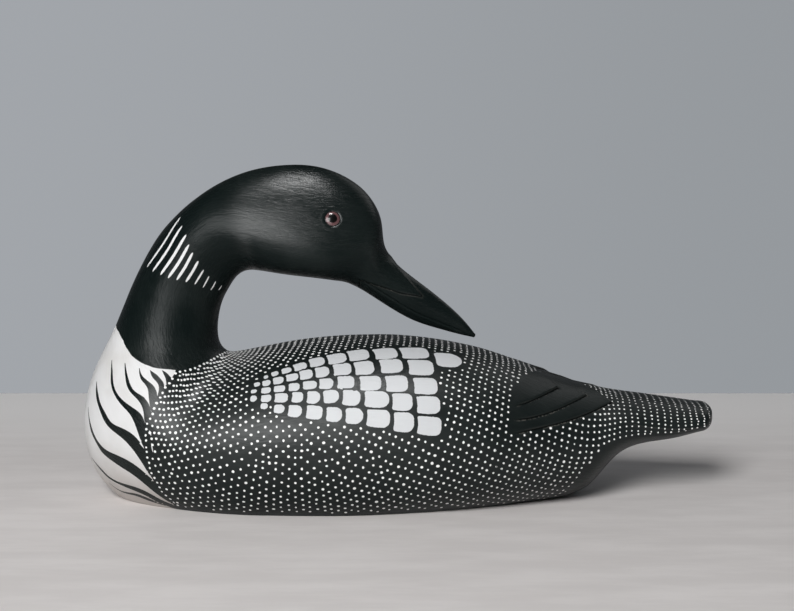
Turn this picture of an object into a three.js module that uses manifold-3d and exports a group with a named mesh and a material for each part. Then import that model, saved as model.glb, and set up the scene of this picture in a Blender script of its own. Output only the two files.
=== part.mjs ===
// Carved wooden loon figurine, resting, with its neck bent back and its bill laid along its own back.
// Millimetres. +Z is up, the breast faces -X, the tail points to +X, and the flat underside lies on z = 0.
// The bird is one carved solid of painted wood. Its two glass eyes are pieces of their own, set in drilled
// sockets.

import * as THREE from "three";
import { mergeVertices } from "three/addons/utils/BufferGeometryUtils.js";
import Module from "manifold-3d";

const wasm = await Module();
wasm.setup();

// The carver's pattern, one row for each place where the blank is measured, from the tail to the bill tip.
// inner is the point [x, z] on the back, the back of the neck or the throat, outer is the one opposite it on
// the belly, breast, crown or top of the bill. half is the half width there, level is how far from inner to
// outer the widest place lies, and the two fullness values round the section on its inner and outer side:
// 2 is an ellipse, more is boxier, less is sharper.
const PATTERN = [
  { at: "tail end", inner: [179.5, 55.9], outer: [178.5, 39], half: 20.2, level: 0.6, full: [2.3, 1.7] },
  { at: "tail", inner: [165, 58.1], outer: [163, 34.8], half: 23.4, level: 0.62, full: [2.3, 1.6] },
  { at: "tail root", inner: [146, 60.7], outer: [143.5, 31.5], half: 26.5, level: 0.6, full: [2.2, 1.65] },
  { at: "rump", inner: [130, 63.1], outer: [128.5, 23.5], half: 30, level: 0.56, full: [2.1, 1.7] },
  { at: "vent", inner: [116, 65.8], outer: [112.5, 5.5], half: 34.5, level: 0.54, full: [2.1, 1.8] },
  { at: "stern", inner: [98, 70.3], outer: [91, -2], half: 41.5, level: 0.54, full: [2.1, 1.85] },
  { at: "wing tips", inner: [80, 76.8], outer: [73, -4.5], half: 48.5, level: 0.53, full: [2.1, 1.9] },
  { at: "wing fold", inner: [65, 82.9], outer: [58, -6.5], half: 54, level: 0.53, full: [2.1, 1.95] },
  { at: "loin", inner: [45, 89], outer: [39, -8.5], half: 58.8, level: 0.53, full: [2.1, 2.05] },
  { at: "middle back", inner: [13, 94.6], outer: [10, -11], half: 63.5, level: 0.52, full: [2.1, 2.2] },
  { at: "saddle", inner: [-25, 95.8], outer: [-27, -13], half: 65.5, level: 0.51, full: [2.1, 2.4] },
  { at: "shoulder", inner: [-60, 92.8], outer: [-66, -13], half: 64.8, level: 0.5, full: [2, 2.45] },
  { at: "crook", inner: [-84, 88.4], outer: [-103, -12], half: 61.8, level: 0.49, full: [1.95, 2.35] },
  { at: "keel", inner: [-95, 86.6], outer: [-137, -9.5], half: 57.8, level: 0.48, full: [1.85, 1.95] },
  { at: "low chest", inner: [-100.8, 86.7], outer: [-165.5, -2], half: 53, level: 0.48, full: [1.8, 1.7] },
  { at: "chest", inner: [-104.3, 89], outer: [-183, 19.5], half: 48.5, level: 0.48, full: [1.8, 1.85] },
  { at: "breast", inner: [-106, 91.6], outer: [-187.3, 46.5], half: 43, level: 0.48, full: [1.85, 1.95] },
  { at: "breast top", inner: [-107, 95.2], outer: [-181.4, 74.2], half: 35.5, level: 0.48, full: [1.9, 2] },
  { at: "neck foot", inner: [-107.3, 100.8], outer: [-169.5, 98.7], half: 29, level: 0.49, full: [2, 2] },
  { at: "low neck", inner: [-106.6, 107.5], outer: [-160.8, 118.8], half: 25, level: 0.5, full: [2, 2] },
  { at: "neck", inner: [-104.2, 117], outer: [-150.9, 139.6], half: 22.5, level: 0.51, full: [2, 2] },
  { at: "high neck", inner: [-99.4, 126.4], outer: [-138.3, 159.5], half: 21.5, level: 0.52, full: [2, 2] },
  { at: "nape", inner: [-94, 133.3], outer: [-118.5, 178.2], half: 21.8, level: 0.5, full: [2, 2] },
  { at: "throat", inner: [-88.5, 135.8], outer: [-104.5, 187.1], half: 23, level: 0.4, full: [2, 1.8] },
  { at: "rear crown", inner: [-79.5, 135.3], outer: [-87, 194.2], half: 24.3, level: 0.3, full: [2.1, 1.65] },
  { at: "crown", inner: [-67, 133.5], outer: [-62, 197.8], half: 25.5, level: 0.24, full: [2.2, 1.55] },
  { at: "brow", inner: [-48, 131.2], outer: [-38.5, 194.1], half: 25, level: 0.24, full: [2.2, 1.55] },
  { at: "forehead", inner: [-36, 129.6], outer: [-20, 182.7], half: 22, level: 0.3, full: [2.2, 1.7] },
  { at: "temple", inner: [-31.5, 128.8], outer: [-14, 175], half: 20, level: 0.36, full: [2.2, 1.85] },
  { at: "lores", inner: [-27, 126.9], outer: [-10.1, 165.5], half: 17.5, level: 0.43, full: [2.1, 2] },
  { at: "bill root", inner: [-19.5, 122.7], outer: [-7.6, 149.2], half: 14.2, level: 0.45, full: [2, 1.9] },
  { at: "bill ridge", inner: [-14, 119.2], outer: [-3, 142.4], half: 12.3, level: 0.45, full: [1.95, 1.85] },
  { at: "bill quarter", inner: [-5, 113.4], outer: [5, 134.8], half: 10.2, level: 0.46, full: [1.9, 1.8] },
  { at: "half bill", inner: [8.5, 105.7], outer: [16.5, 126.1], half: 7.6, level: 0.46, full: [1.9, 1.8] },
  { at: "fore bill", inner: [25, 100.3], outer: [30.2, 114.5], half: 5, level: 0.46, full: [1.9, 1.8] },
  { at: "bill end", inner: [37.5, 96.9], outer: [40.8, 103.5], half: 2.8, level: 0.46, full: [1.9, 1.8] },
  { at: "bill tip", inner: [43.9, 95.5], outer: [45.3, 97.9], half: 1.4, level: 0.48, full: [2, 2] },
];
const TAIL_ROUNDING = 8.5; // how far the blunt tail end stands beyond its last row
const BILL_ROUNDING = 1.3; // the same for the bill tip
const ROUNDING_FULLNESS = { side: 2.4, plan: 1.8 }; // how blunt these ends are from the side and from above

// Mesh density of the carved body.
const RINGS_PER_ROW = 3;
const ROUNDING_RINGS = 3;
const GIRTH_POINTS = 32;
const SMALL_STEP = 0.02; // millimetres along or radians round, the step that feels the surface's slope

// The folded wings end in three feathers on each side, the upper one lying over the next.
// Places are [mm along the bird from the tail row, degrees down from the middle of the back].
const WING_FRONT = 124.5; // where the carved feathers come out of the smooth back
const FEATHERS = [
  { tip: [57, 34], lowerAtFront: 74, bow: 1.3, upperFrom: 78.5, height: 0.8 },
  { tip: [77.5, 27], lowerAtFront: 64, bow: 1.7, upperFrom: 105.5, height: 1.5 },
  { tip: [96, 26], lowerAtFront: 54, bow: 1.55, upperFrom: 111.5, height: 2.2 },
];
const FEATHER_STEPS = 9;
const FEATHER_ROWS = 4;
const FEATHER_ROOT_DEPTH = 2.5; // how far a feather's blank reaches into the body
const FEATHER_BLUNT = 2; // degrees of width left at the very tip
const FEATHER_RISE = 0.6; // how early along its length a feather gains its height: below 1 is early
const FEATHER_START = -0.3; // its front edge lies this far from the body's surface, so inside the wood

// The closed mouth, an incised line from the gape towards the bill tip.
const MOUTH = [[548.5, 46], [562.5, 57], [578.5, 60], [595.5, 60], [611.5, 62], [624.5, 66]];
const MOUTH_STEPS = 13;
const MOUTH_DEPTH = 0.7;
const MOUTH_HALF_WIDTH = 0.7;

// The glass eyes.
const EYE_PLACE = [521.5, 124]; // mm along from the tail row, degrees round from the throat
const EYE_DIAMETER = 9.2;
const EYE_PROUD = 0.9; // the dome's top above the head
const EYE_RIM_SUNK = 0.35; // the rim's level below the head's surface at the eye, because the head is round
const EYE_DEPTH = 4;
const SOCKET_GAP = 0.3;
const EYE_SEGMENTS = 24;
const DOME_RINGS = 4;

// The block that takes away everything below the table line.
const TABLE_LENGTH = 500;
const TABLE_WIDTH = 300;
const TABLE_DEPTH = 60;

const PAINT_BLACK = 0x23272a;
const GLASS_RED_BROWN = 0x7a4440;

// Natural cubic spline through rows of numbers, one row for each knot: the returned function gives the row at
// any place between the first knot and the last.
function splineThrough(knots, rows) {
  const last = knots.length - 1;
  const gap = knots.slice(1).map((knot, i) => knot - knots[i]);
  const bend = rows.map((row) => row.map(() => 0));
  for (let column = 0; column < rows[0].length; column++) {
    const slope = gap.map((width, i) => (rows[i + 1][column] - rows[i][column]) / width);
    const weight = [0];
    const carried = [0];
    for (let i = 1; i < last; i++) {
      const pivot = 2 * (gap[i - 1] + gap[i]) - gap[i - 1] * weight[i - 1];
      weight.push(gap[i] / pivot);
      carried.push((6 * (slope[i] - slope[i - 1]) - gap[i - 1] * carried[i - 1]) / pivot);
    }
    for (let i = last - 1; i > 0; i--) {
      bend[i][column] = carried[i] - weight[i] * bend[i + 1][column];
    }
  }
  return (place) => {
    let i = 0;
    while (i < last - 1 && place > knots[i + 1]) i++;
    const width = gap[i];
    const a = (knots[i + 1] - place) / width;
    const b = 1 - a;
    return rows[i].map((value, column) => {
      const curved = (a ** 3 - a) * bend[i][column] + (b ** 3 - b) * bend[i + 1][column];
      return a * value + b * rows[i + 1][column] + (curved * width * width) / 6;
    });
  };
}

// The pattern as rows of numbers, and their places along the bird: the mean of the inner and outer lengths.
const rows = PATTERN.map((p) => [...p.inner, ...p.outer, p.half, p.level, ...p.full]);
const places = [0];
for (let i = 1; i < rows.length; i++) {
  const inner = Math.hypot(rows[i][0] - rows[i - 1][0], rows[i][1] - rows[i - 1][1]);
  const outer = Math.hypot(rows[i][2] - rows[i - 1][2], rows[i][3] - rows[i - 1][3]);
  places.push(places[i - 1] + (inner + outer) / 2);
}
const rowAt = splineThrough(places, rows);

// The point of a section at an angle from its inner point, round by the bird's left side (+Y).
function sectionPoint([inX, inZ, outX, outZ, half, level, fullInner, fullOuter], angle) {
  const c = Math.cos(angle);
  const s = Math.sin(angle);
  const power = 2 / (c >= 0 ? fullInner : fullOuter);
  const reach = Math.abs(c) ** power;
  const across = c >= 0 ? level - level * reach : level + (1 - level) * reach;
  const side = half * Math.sign(s) * Math.abs(s) ** power;
  return new THREE.Vector3(inX + (outX - inX) * across, side, inZ + (outZ - inZ) * across);
}

// A point on the smooth body, and the outward normal there, worked out from two short steps on the surface.
function bodyPoint(along, angle) {
  return sectionPoint(rowAt(along), angle);
}

function bodyNormal(along, angle) {
  const alongBird = bodyPoint(along + SMALL_STEP, angle).sub(bodyPoint(along - SMALL_STEP, angle));
  const roundGirth = bodyPoint(along, angle + SMALL_STEP).sub(bodyPoint(along, angle - SMALL_STEP));
  return roundGirth.cross(alongBird).normalize();
}

// The rows of the rounded end beyond a pattern row: the section shrinks about its middle while moving out.
function roundingRows(row, neighbour, reach) {
  const middle = new THREE.Vector2((row[0] + row[2]) / 2, (row[1] + row[3]) / 2);
  const before = new THREE.Vector2((neighbour[0] + neighbour[2]) / 2, (neighbour[1] + neighbour[3]) / 2);
  const outwards = middle.clone().sub(before).normalize();
  const result = [];
  for (let i = 1; i <= ROUNDING_RINGS; i++) {
    const t = Math.sin(((Math.PI / 2) * i) / ROUNDING_RINGS);
    const shrink = (1 - t ** ROUNDING_FULLNESS.side) ** (1 / ROUNDING_FULLNESS.side);
    const moved = middle.clone().addScaledVector(outwards, reach * t);
    const next = [...row];
    for (const x of [0, 2]) {
      next[x] = moved.x + (row[x] - middle.x) * shrink;
      next[x + 1] = moved.y + (row[x + 1] - middle.y) * shrink;
    }
    next[4] = row[4] * (1 - t ** ROUNDING_FULLNESS.plan) ** (1 / ROUNDING_FULLNESS.plan);
    result.push(next);
  }
  return result;
}

// A closed skin over rings of points: neighbouring rings are joined, and each end runs to one point.
function skin(rings, startPole, endPole) {
  const count = rings[0].length;
  const points = [startPole, ...rings.flat(), endPole];
  const index = [];
  for (let ring = 0; ring < rings.length; ring++) {
    for (let j = 0; j < count; j++) {
      const here = 1 + ring * count + j;
      const beside = 1 + ring * count + ((j + 1) % count);
      if (ring === 0) index.push(0, beside, here);
      if (ring === rings.length - 1) {
        index.push(here, beside, points.length - 1);
      } else {
        index.push(here, beside, beside + count, here, beside + count, here + count);
      }
    }
  }
  const geometry = new THREE.BufferGeometry().setFromPoints(points);
  geometry.setIndex(index);
  return geometry;
}

// Solids for joining and cutting, and back to a geometry.
function toSolid(geometry) {
  const bare = geometry.clone();
  bare.deleteAttribute("normal");
  bare.deleteAttribute("uv");
  const merged = mergeVertices(bare, 1e-5);
  const vertProperties = new Float32Array(merged.attributes.position.array);
  const triVerts = new Uint32Array(merged.index.array);
  const solid = new wasm.Manifold(new wasm.Mesh({ numProp: 3, vertProperties, triVerts }));
  if (solid.volume() <= 0) throw new Error("a solid's faces point inwards");
  return solid;
}

function toGeometry(solid) {
  const { vertProperties, triVerts } = solid.getMesh();
  const geometry = new THREE.BufferGeometry();
  geometry.setAttribute("position", new THREE.BufferAttribute(vertProperties, 3));
  geometry.setIndex(new THREE.BufferAttribute(triVerts, 1));
  geometry.computeVertexNormals();
  return geometry;
}

// The smooth bird, from the tail end to the bill tip.
function smoothBody() {
  const ringRows = [];
  for (let i = 0; i < rows.length - 1; i++) {
    for (let k = 0; k < RINGS_PER_ROW; k++) {
      ringRows.push(rowAt(places[i] + ((places[i + 1] - places[i]) * k) / RINGS_PER_ROW));
    }
  }
  ringRows.push(rows.at(-1));
  const tail = roundingRows(ringRows[0], ringRows[1], TAIL_ROUNDING).reverse();
  const bill = roundingRows(ringRows.at(-1), ringRows.at(-2), BILL_ROUNDING);
  const tailPole = sectionPoint(tail.shift(), 0);
  const billPole = sectionPoint(bill.pop(), 0);
  const rings = [...tail, ...ringRows, ...bill].map((row) => {
    const ring = [];
    for (let j = 0; j < GIRTH_POINTS; j++) {
      ring.push(sectionPoint(row, (2 * Math.PI * j) / GIRTH_POINTS));
    }
    return ring;
  });
  return toSolid(skin(rings, tailPole, billPole));
}

// One wing feather as a thin curved blank on the body's surface, rising from nothing at the front to its full
// height at the tip. side is 1 for the bird's left wing and -1 for the right one.
function feather({ tip, lowerAtFront, bow, upperFrom, height }, side) {
  const top = [];
  const root = [];
  for (let i = 0; i <= FEATHER_STEPS; i++) {
    const t = i / FEATHER_STEPS;
    const along = WING_FRONT + (tip[0] - WING_FRONT) * t;
    const lower = lowerAtFront + (tip[1] - lowerAtFront) * t ** bow;
    const upper = Math.max(0, ((upperFrom - along) / (upperFrom - tip[0])) * tip[1]) - FEATHER_BLUNT;
    const lift = height * t ** FEATHER_RISE + FEATHER_START * (1 - t);
    for (let j = 0; j <= FEATHER_ROWS; j++) {
      const down = THREE.MathUtils.degToRad(upper + ((lower - upper) * j) / FEATHER_ROWS) * side;
      const onBody = bodyPoint(along, down);
      const outwards = bodyNormal(along, down);
      top.push(onBody.clone().addScaledVector(outwards, lift));
      root.push(onBody.clone().addScaledVector(outwards, -FEATHER_ROOT_DEPTH));
    }
  }
  return toSolid(slab(top, root, FEATHER_STEPS, FEATHER_ROWS, side));
}

// A closed slab between two grids of points of the same size.
function slab(top, root, steps, across, side) {
  const width = across + 1;
  const under = top.length;
  const index = [];
  const quad = (a, b, c, d) => (side > 0 ? index.push(a, b, c, a, c, d) : index.push(a, c, b, a, d, c));
  for (let i = 0; i < steps; i++) {
    for (let j = 0; j < across; j++) {
      const a = i * width + j;
      quad(a, a + width, a + width + 1, a + 1);
      quad(under + a, under + a + 1, under + a + width + 1, under + a + width);
    }
    const upper = i * width;
    const lower = upper + across;
    quad(upper, under + upper, under + upper + width, upper + width);
    quad(lower, lower + width, under + lower + width, under + lower);
  }
  for (let j = 0; j < across; j++) {
    const back = steps * width + j;
    quad(j, j + 1, under + j + 1, under + j);
    quad(back, under + back, under + back + 1, back + 1);
  }
  const geometry = new THREE.BufferGeometry().setFromPoints([...top, ...root]);
  geometry.setIndex(index);
  return geometry;
}

// The mouth's cutter: a narrow wedge that follows the line, sharp edge inwards.
function mouthCutter(side) {
  const lineAt = splineThrough(MOUTH.map((point) => point[0]), MOUTH.map((point) => [point[1]]));
  const rings = [];
  for (let i = 0; i <= MOUTH_STEPS; i++) {
    const along = MOUTH[0][0] + ((MOUTH.at(-1)[0] - MOUTH[0][0]) * i) / MOUTH_STEPS;
    const angle = THREE.MathUtils.degToRad(lineAt(along)[0]) * side;
    const middle = bodyPoint(along, angle);
    const outwards = bodyNormal(along, angle);
    const across = bodyPoint(along, angle + SMALL_STEP * side).sub(middle).normalize();
    const lift = middle.clone().addScaledVector(outwards, MOUTH_DEPTH);
    const wedge = [
      middle.clone().addScaledVector(outwards, -MOUTH_DEPTH),
      lift.clone().addScaledVector(across, 2 * MOUTH_HALF_WIDTH),
      lift.clone().addScaledVector(across, -2 * MOUTH_HALF_WIDTH),
    ];
    rings.push(side > 0 ? wedge.reverse() : wedge);
  }
  const sumOf = (ring) => ring.reduce((sum, point) => sum.add(point), new THREE.Vector3());
  const middleOf = (ring) => sumOf(ring).divideScalar(ring.length);
  return toSolid(skin(rings, middleOf(rings[0]), middleOf(rings.at(-1))));
}

// Where an eye sits: its middle on the head and the way that it looks.
function eyeSeat(side) {
  const angle = THREE.MathUtils.degToRad(EYE_PLACE[1]) * side;
  const middle = bodyPoint(EYE_PLACE[0], angle);
  const outwards = bodyNormal(EYE_PLACE[0], angle);
  const turn = new THREE.Quaternion().setFromUnitVectors(new THREE.Vector3(0, 1, 0), outwards);
  return new THREE.Matrix4().compose(middle, turn, new THREE.Vector3(1, 1, 1));
}

function eyeSocket(side) {
  const radius = EYE_DIAMETER / 2 + SOCKET_GAP;
  const depth = EYE_DEPTH + SOCKET_GAP;
  const drill = new THREE.CylinderGeometry(radius, radius, 2 * depth, EYE_SEGMENTS);
  return toSolid(drill.applyMatrix4(eyeSeat(side)));
}

// A glass eye: a short plug with a domed face, turned about its own axis.
function eyeGeometry() {
  const radius = EYE_DIAMETER / 2;
  const rise = EYE_PROUD + EYE_RIM_SUNK;
  const ballRadius = (radius ** 2 + rise ** 2) / (2 * rise);
  const rimAngle = Math.asin(radius / ballRadius);
  const profile = [new THREE.Vector2(0, -EYE_DEPTH), new THREE.Vector2(radius, -EYE_DEPTH)];
  for (let i = 0; i <= DOME_RINGS; i++) {
    const angle = rimAngle * (1 - i / DOME_RINGS);
    profile.push(new THREE.Vector2(ballRadius * Math.sin(angle),
      EYE_PROUD - ballRadius * (1 - Math.cos(angle))));
  }
  return new THREE.LatheGeometry(profile, EYE_SEGMENTS);
}

// Everything below the table line is cut away, which leaves the flat underside.
function belowTable() {
  const block = new THREE.BoxGeometry(TABLE_LENGTH, TABLE_WIDTH, TABLE_DEPTH);
  block.translate(0, 0, -TABLE_DEPTH / 2);
  return toSolid(block);
}

function carvedBody() {
  let solid = smoothBody();
  for (const side of [1, -1]) {
    for (const shape of FEATHERS) solid = solid.add(feather(shape, side));
    solid = solid.subtract(mouthCutter(side)).subtract(eyeSocket(side));
  }
  return toGeometry(solid.subtract(belowTable()));
}

const loon = new THREE.Group();
const paintedWood = new THREE.MeshStandardMaterial({ color: PAINT_BLACK, roughness: 0.5, metalness: 0 });
const body = new THREE.Mesh(carvedBody(), paintedWood);
body.name = "loon_body";
loon.add(body);

for (const [name, side] of [["eye_right", -1], ["eye_left", 1]]) {
  const glass = new THREE.MeshStandardMaterial({ color: GLASS_RED_BROWN, roughness: 0.08, metalness: 0 });
  const eye = new THREE.Mesh(eyeGeometry(), glass);
  eye.name = name;
  eye.applyMatrix4(eyeSeat(side));
  loon.add(eye);
}

export default loon;
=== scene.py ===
import bmesh
import bpy
import numpy as np
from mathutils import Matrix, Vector
from numpy.polynomial import chebyshev


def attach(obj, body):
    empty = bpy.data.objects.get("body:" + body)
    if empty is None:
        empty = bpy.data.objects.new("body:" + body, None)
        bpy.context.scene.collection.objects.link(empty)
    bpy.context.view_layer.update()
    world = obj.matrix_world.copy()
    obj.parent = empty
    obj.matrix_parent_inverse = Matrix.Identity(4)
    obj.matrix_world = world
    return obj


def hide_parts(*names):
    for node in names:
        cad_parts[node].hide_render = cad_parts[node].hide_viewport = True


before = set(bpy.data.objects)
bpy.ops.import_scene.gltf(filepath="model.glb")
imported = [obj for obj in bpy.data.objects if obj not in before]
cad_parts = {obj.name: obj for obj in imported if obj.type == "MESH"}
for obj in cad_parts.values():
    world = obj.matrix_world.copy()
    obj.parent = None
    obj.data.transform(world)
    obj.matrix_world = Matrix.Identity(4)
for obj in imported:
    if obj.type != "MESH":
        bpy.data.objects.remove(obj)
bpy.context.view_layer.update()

# The carved wooden loon, resting with its bill along its back. Lengths in this file are millimetres, and MM
# turns them into metres when a mesh is made. Places on the bird are given as (along, down): millimetres
# along the pattern from the tail row, and degrees round the section from the middle of the back.
MM = 0.001
PICTURE_WIDTH = 794
FOCAL_PIXELS = 1544

# The carver's pattern
# One row for each place where the blank is measured: the inner point x, z on the back, the nape or the
# throat, the outer point x, z on the belly, the breast, the crown or the bill's ridge, the half width, the
# level of the widest place between them, and the fullness of the inner and the outer side.
PATTERN = np.array([
    [179.5, 55.9, 178.5, 39, 20.2, 0.6, 2.3, 1.7],  # tail end
    [165, 58.1, 163, 34.8, 23.4, 0.62, 2.3, 1.6],
    [146, 60.7, 143.5, 31.5, 26.5, 0.6, 2.2, 1.65],  # tail root
    [130, 63.1, 128.5, 23.5, 30, 0.56, 2.1, 1.7],
    [116, 65.8, 112.5, 5.5, 34.5, 0.54, 2.1, 1.8],
    [98, 70.3, 91, -2, 41.5, 0.54, 2.1, 1.85],
    [80, 76.8, 73, -4.5, 48.5, 0.53, 2.1, 1.9],  # wing tips
    [65, 82.9, 58, -6.5, 54, 0.53, 2.1, 1.95],
    [45, 89, 39, -8.5, 58.8, 0.53, 2.1, 2.05],
    [13, 94.6, 10, -11, 63.5, 0.52, 2.1, 2.2],  # middle of the back
    [-25, 95.8, -27, -13, 65.5, 0.51, 2.1, 2.4],
    [-60, 92.8, -66, -13, 64.8, 0.5, 2, 2.45],
    [-84, 88.4, -103, -12, 61.8, 0.49, 1.95, 2.35],  # crook of the neck
    [-95, 86.6, -137, -9.5, 57.8, 0.48, 1.85, 1.95],
    [-100.8, 86.7, -165.5, -2, 53, 0.48, 1.8, 1.7],
    [-104.3, 89, -183, 19.5, 48.5, 0.48, 1.8, 1.85],
    [-106, 91.6, -187.3, 46.5, 43, 0.48, 1.85, 1.95],  # breast
    [-107, 95.2, -181.4, 74.2, 35.5, 0.48, 1.9, 2],
    [-107.3, 100.8, -169.5, 98.7, 29, 0.49, 2, 2],
    [-106.6, 107.5, -160.8, 118.8, 25, 0.5, 2, 2],
    [-104.2, 117, -150.9, 139.6, 22.5, 0.51, 2, 2],  # neck
    [-99.4, 126.4, -138.3, 159.5, 21.5, 0.52, 2, 2],
    [-94, 133.3, -118.5, 178.2, 21.8, 0.5, 2, 2],
    [-88.5, 135.8, -104.5, 187.1, 23, 0.4, 2, 1.8],
    [-79.5, 135.3, -87, 194.2, 24.3, 0.3, 2.1, 1.65],
    [-67, 133.5, -62, 197.8, 25.5, 0.24, 2.2, 1.55],  # crown
    [-48, 131.2, -38.5, 194.1, 25, 0.24, 2.2, 1.55],
    [-36, 129.6, -20, 182.7, 22, 0.3, 2.2, 1.7],
    [-31.5, 128.8, -14, 175, 20, 0.36, 2.2, 1.85],
    [-27, 126.9, -10.1, 165.5, 17.5, 0.43, 2.1, 2],
    [-19.5, 122.7, -7.6, 149.2, 14.2, 0.45, 2, 1.9],  # bill root
    [-14, 119.2, -3, 142.4, 12.3, 0.45, 1.95, 1.85],
    [-5, 113.4, 5, 134.8, 10.2, 0.46, 1.9, 1.8],
    [8.5, 105.7, 16.5, 126.1, 7.6, 0.46, 1.9, 1.8],
    [25, 100.3, 30.2, 114.5, 5, 0.46, 1.9, 1.8],
    [37.5, 96.9, 40.8, 103.5, 2.8, 0.46, 1.9, 1.8],
    [43.9, 95.5, 45.3, 97.9, 1.4, 0.48, 2, 2],  # bill tip
])
TAIL_ROUNDING = 8.5
BILL_ROUNDING = 1.3
ROUNDING_SIDE = 2.4
ROUNDING_PLAN = 1.8


def chords(rows):
    """Places of the rows along the bird: the running sum of the mean of the inner and the outer distance."""
    inner = np.hypot(*np.diff(rows[:, 0:2], axis=0).T)
    outer = np.hypot(*np.diff(rows[:, 2:4], axis=0).T)
    return np.concatenate([[0], np.cumsum((inner + outer) / 2)])


def bends(knots, rows):
    """Second slopes of the natural cubic spline through the rows, from its tridiagonal system."""
    count = len(knots)
    gap = np.diff(knots)
    system = np.eye(count)
    right = np.zeros(rows.shape)
    for i in range(1, count - 1):
        system[i, i - 1:i + 2] = gap[i - 1], 2 * (gap[i - 1] + gap[i]), gap[i]
        right[i] = 6 * ((rows[i + 1] - rows[i]) / gap[i] - (rows[i] - rows[i - 1]) / gap[i - 1])
    return np.linalg.solve(system, right)


def spline(knots, rows, curves, at):
    """Natural cubic spline: a*r0 + b*r1 + ((a^3-a)*c0 + (b^3-b)*c1)*gap^2/6 between neighbouring knots."""
    at = np.asarray(at, float)
    i = np.clip(np.searchsorted(knots, at, side="right") - 1, 0, len(knots) - 2)
    gap = (knots[i + 1] - knots[i])[..., None]
    a = (knots[i + 1] - at)[..., None] / gap
    b = 1 - a
    bent = (a ** 3 - a) * curves[i] + (b ** 3 - b) * curves[i + 1]
    return a * rows[i] + b * rows[i + 1] + bent * gap ** 2 / 6


ALONG = chords(PATTERN)
BENDS = bends(ALONG, PATTERN)
BILL_TIP = ALONG[-1]


def rows_at(along):
    """Pattern rows at any places. Beyond the tail row and the bill tip's row the last section shrinks about
    its middle by (1-t^n)^(1/n) while it moves outwards by t times the rounding."""
    along = np.asarray(along, float)
    rows = spline(ALONG, PATTERN, BENDS, np.clip(along, 0, BILL_TIP))
    for end, step, reach in ((0.0, (ALONG[1] - ALONG[0]) / 3, TAIL_ROUNDING),
                             (BILL_TIP, -(ALONG[-1] - ALONG[-2]) / 3, BILL_ROUNDING)):
        t = np.clip((along - end) * -np.sign(step) / reach, 0, 1)[..., None]
        last = spline(ALONG, PATTERN, BENDS, end)
        before = spline(ALONG, PATTERN, BENDS, end + step)
        middle = (last[0:2] + last[2:4]) / 2
        outwards = middle - (before[0:2] + before[2:4]) / 2
        outwards /= np.linalg.norm(outwards)
        shrink = (1 - t ** ROUNDING_SIDE) ** (1 / ROUNDING_SIDE)
        slim = (1 - t ** ROUNDING_PLAN) ** (1 / ROUNDING_PLAN)
        capped = np.concatenate([
            middle + (last[0:2] - middle) * shrink + outwards * reach * t,
            middle + (last[2:4] - middle) * shrink + outwards * reach * t,
            last[4:5] * slim, np.broadcast_to(last[5:8], (*t.shape[:-1], 3))], axis=-1)
        rows = np.where(t > 0, capped, rows)
    return rows


def section(rows, angle):
    """Points of superellipse sections: reach |cos|^(2/n) from the widest level towards the inner or the
    outer point, and half width times |sin|^(2/n) to the side, with n the fullness on that side."""
    c, s = np.cos(angle), np.sin(angle)
    inX, inZ, outX, outZ, half, level, full_in, full_out = np.moveaxis(rows, -1, 0)
    power = 2 / np.where(c >= 0, full_in, full_out)
    reach = np.abs(c) ** power
    across = np.where(c >= 0, level - level * reach, level + (1 - level) * reach)
    return np.stack([inX + (outX - inX) * across, half * np.sign(s) * np.abs(s) ** power,
                     inZ + (outZ - inZ) * across], axis=-1)


def on_bird(along, down, side):
    """Points of the smooth body at places (along, down) of one side, -1 right or 1 left."""
    return section(rows_at(along), np.radians(down) * side)


def skin_frame(along, down, side, step=0.05):
    """At places on the smooth body: the point, the outward normal and the millimetres in one degree down,
    from short steps along and round the surface."""
    point = on_bird(along, down, side)
    forward = on_bird(along + step, down, side) - on_bird(along - step, down, side)
    round_ = on_bird(along, down + step, side) - on_bird(along, down - step, side)
    per_degree = np.linalg.norm(round_, axis=-1) / (2 * step)
    normal = np.cross(round_, forward) * np.asarray(side, float)[..., None]
    normal /= np.linalg.norm(normal, axis=-1, keepdims=True) + 1e-12
    return point, normal, per_degree


def smooth(x):
    """Smooth step 3x^2-2x^3 between 0 and 1."""
    x = np.clip(x, 0, 1)
    return x * x * (3 - 2 * x)


# The carving
# The folded wings end in three feathers on each side: tip (along, down), degrees of the lower edge at the
# front, how it bows, where the upper edge leaves the middle of the back, and the height at the tip.
WING_FRONT = 124.5
FEATHERS = [
    (57, 34, 74, 1.3, 78.5, 0.8),
    (77.5, 27, 64, 1.7, 105.5, 1.5),
    (96, 26, 54, 1.55, 111.5, 2.2),
]
FEATHER_EDGE = 0.9  # width of the slope at a feather's edge
MOUTH = np.array([[546.5, 44], [548.5, 46], [562.5, 58], [578.5, 60], [595.5, 60], [611.5, 62], [624.5, 66]])
# Where the face's small feathers end on the bill: degrees round, place along.
FACE_EDGE = np.array([[0, 556], [30, 554], [50, 552.8], [72, 565.5], [98, 581.7], [115, 590], [121, 593.5],
                      [125, 593.5], [130, 591], [144, 583.1], [157, 574], [170, 569], [180, 568]])
TAIL_ARRIS = np.array([[0, 92], [10, 88], [22, 85], [35, 80], [46, 71], [56, 60]])
EYE_PLACE = (521.5, 124)
EYE_RADIUS = 4.6
EYE_PROUD = 0.9
EYE_RIM_SUNK = 0.35


def feather_edges(along, shape):
    """t along a feather from the wing's front to its tip, and the degrees of its upper and lower edge."""
    tip_along, tip_down, lower_front, bow, upper_from, _ = shape
    t = np.clip((WING_FRONT - along) / (WING_FRONT - tip_along), 0, 1)
    lower = lower_front + (tip_down - lower_front) * t ** bow
    upper = np.clip((upper_from - along) / (upper_from - tip_along), 0, 1) * tip_down
    return t, upper, lower


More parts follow.
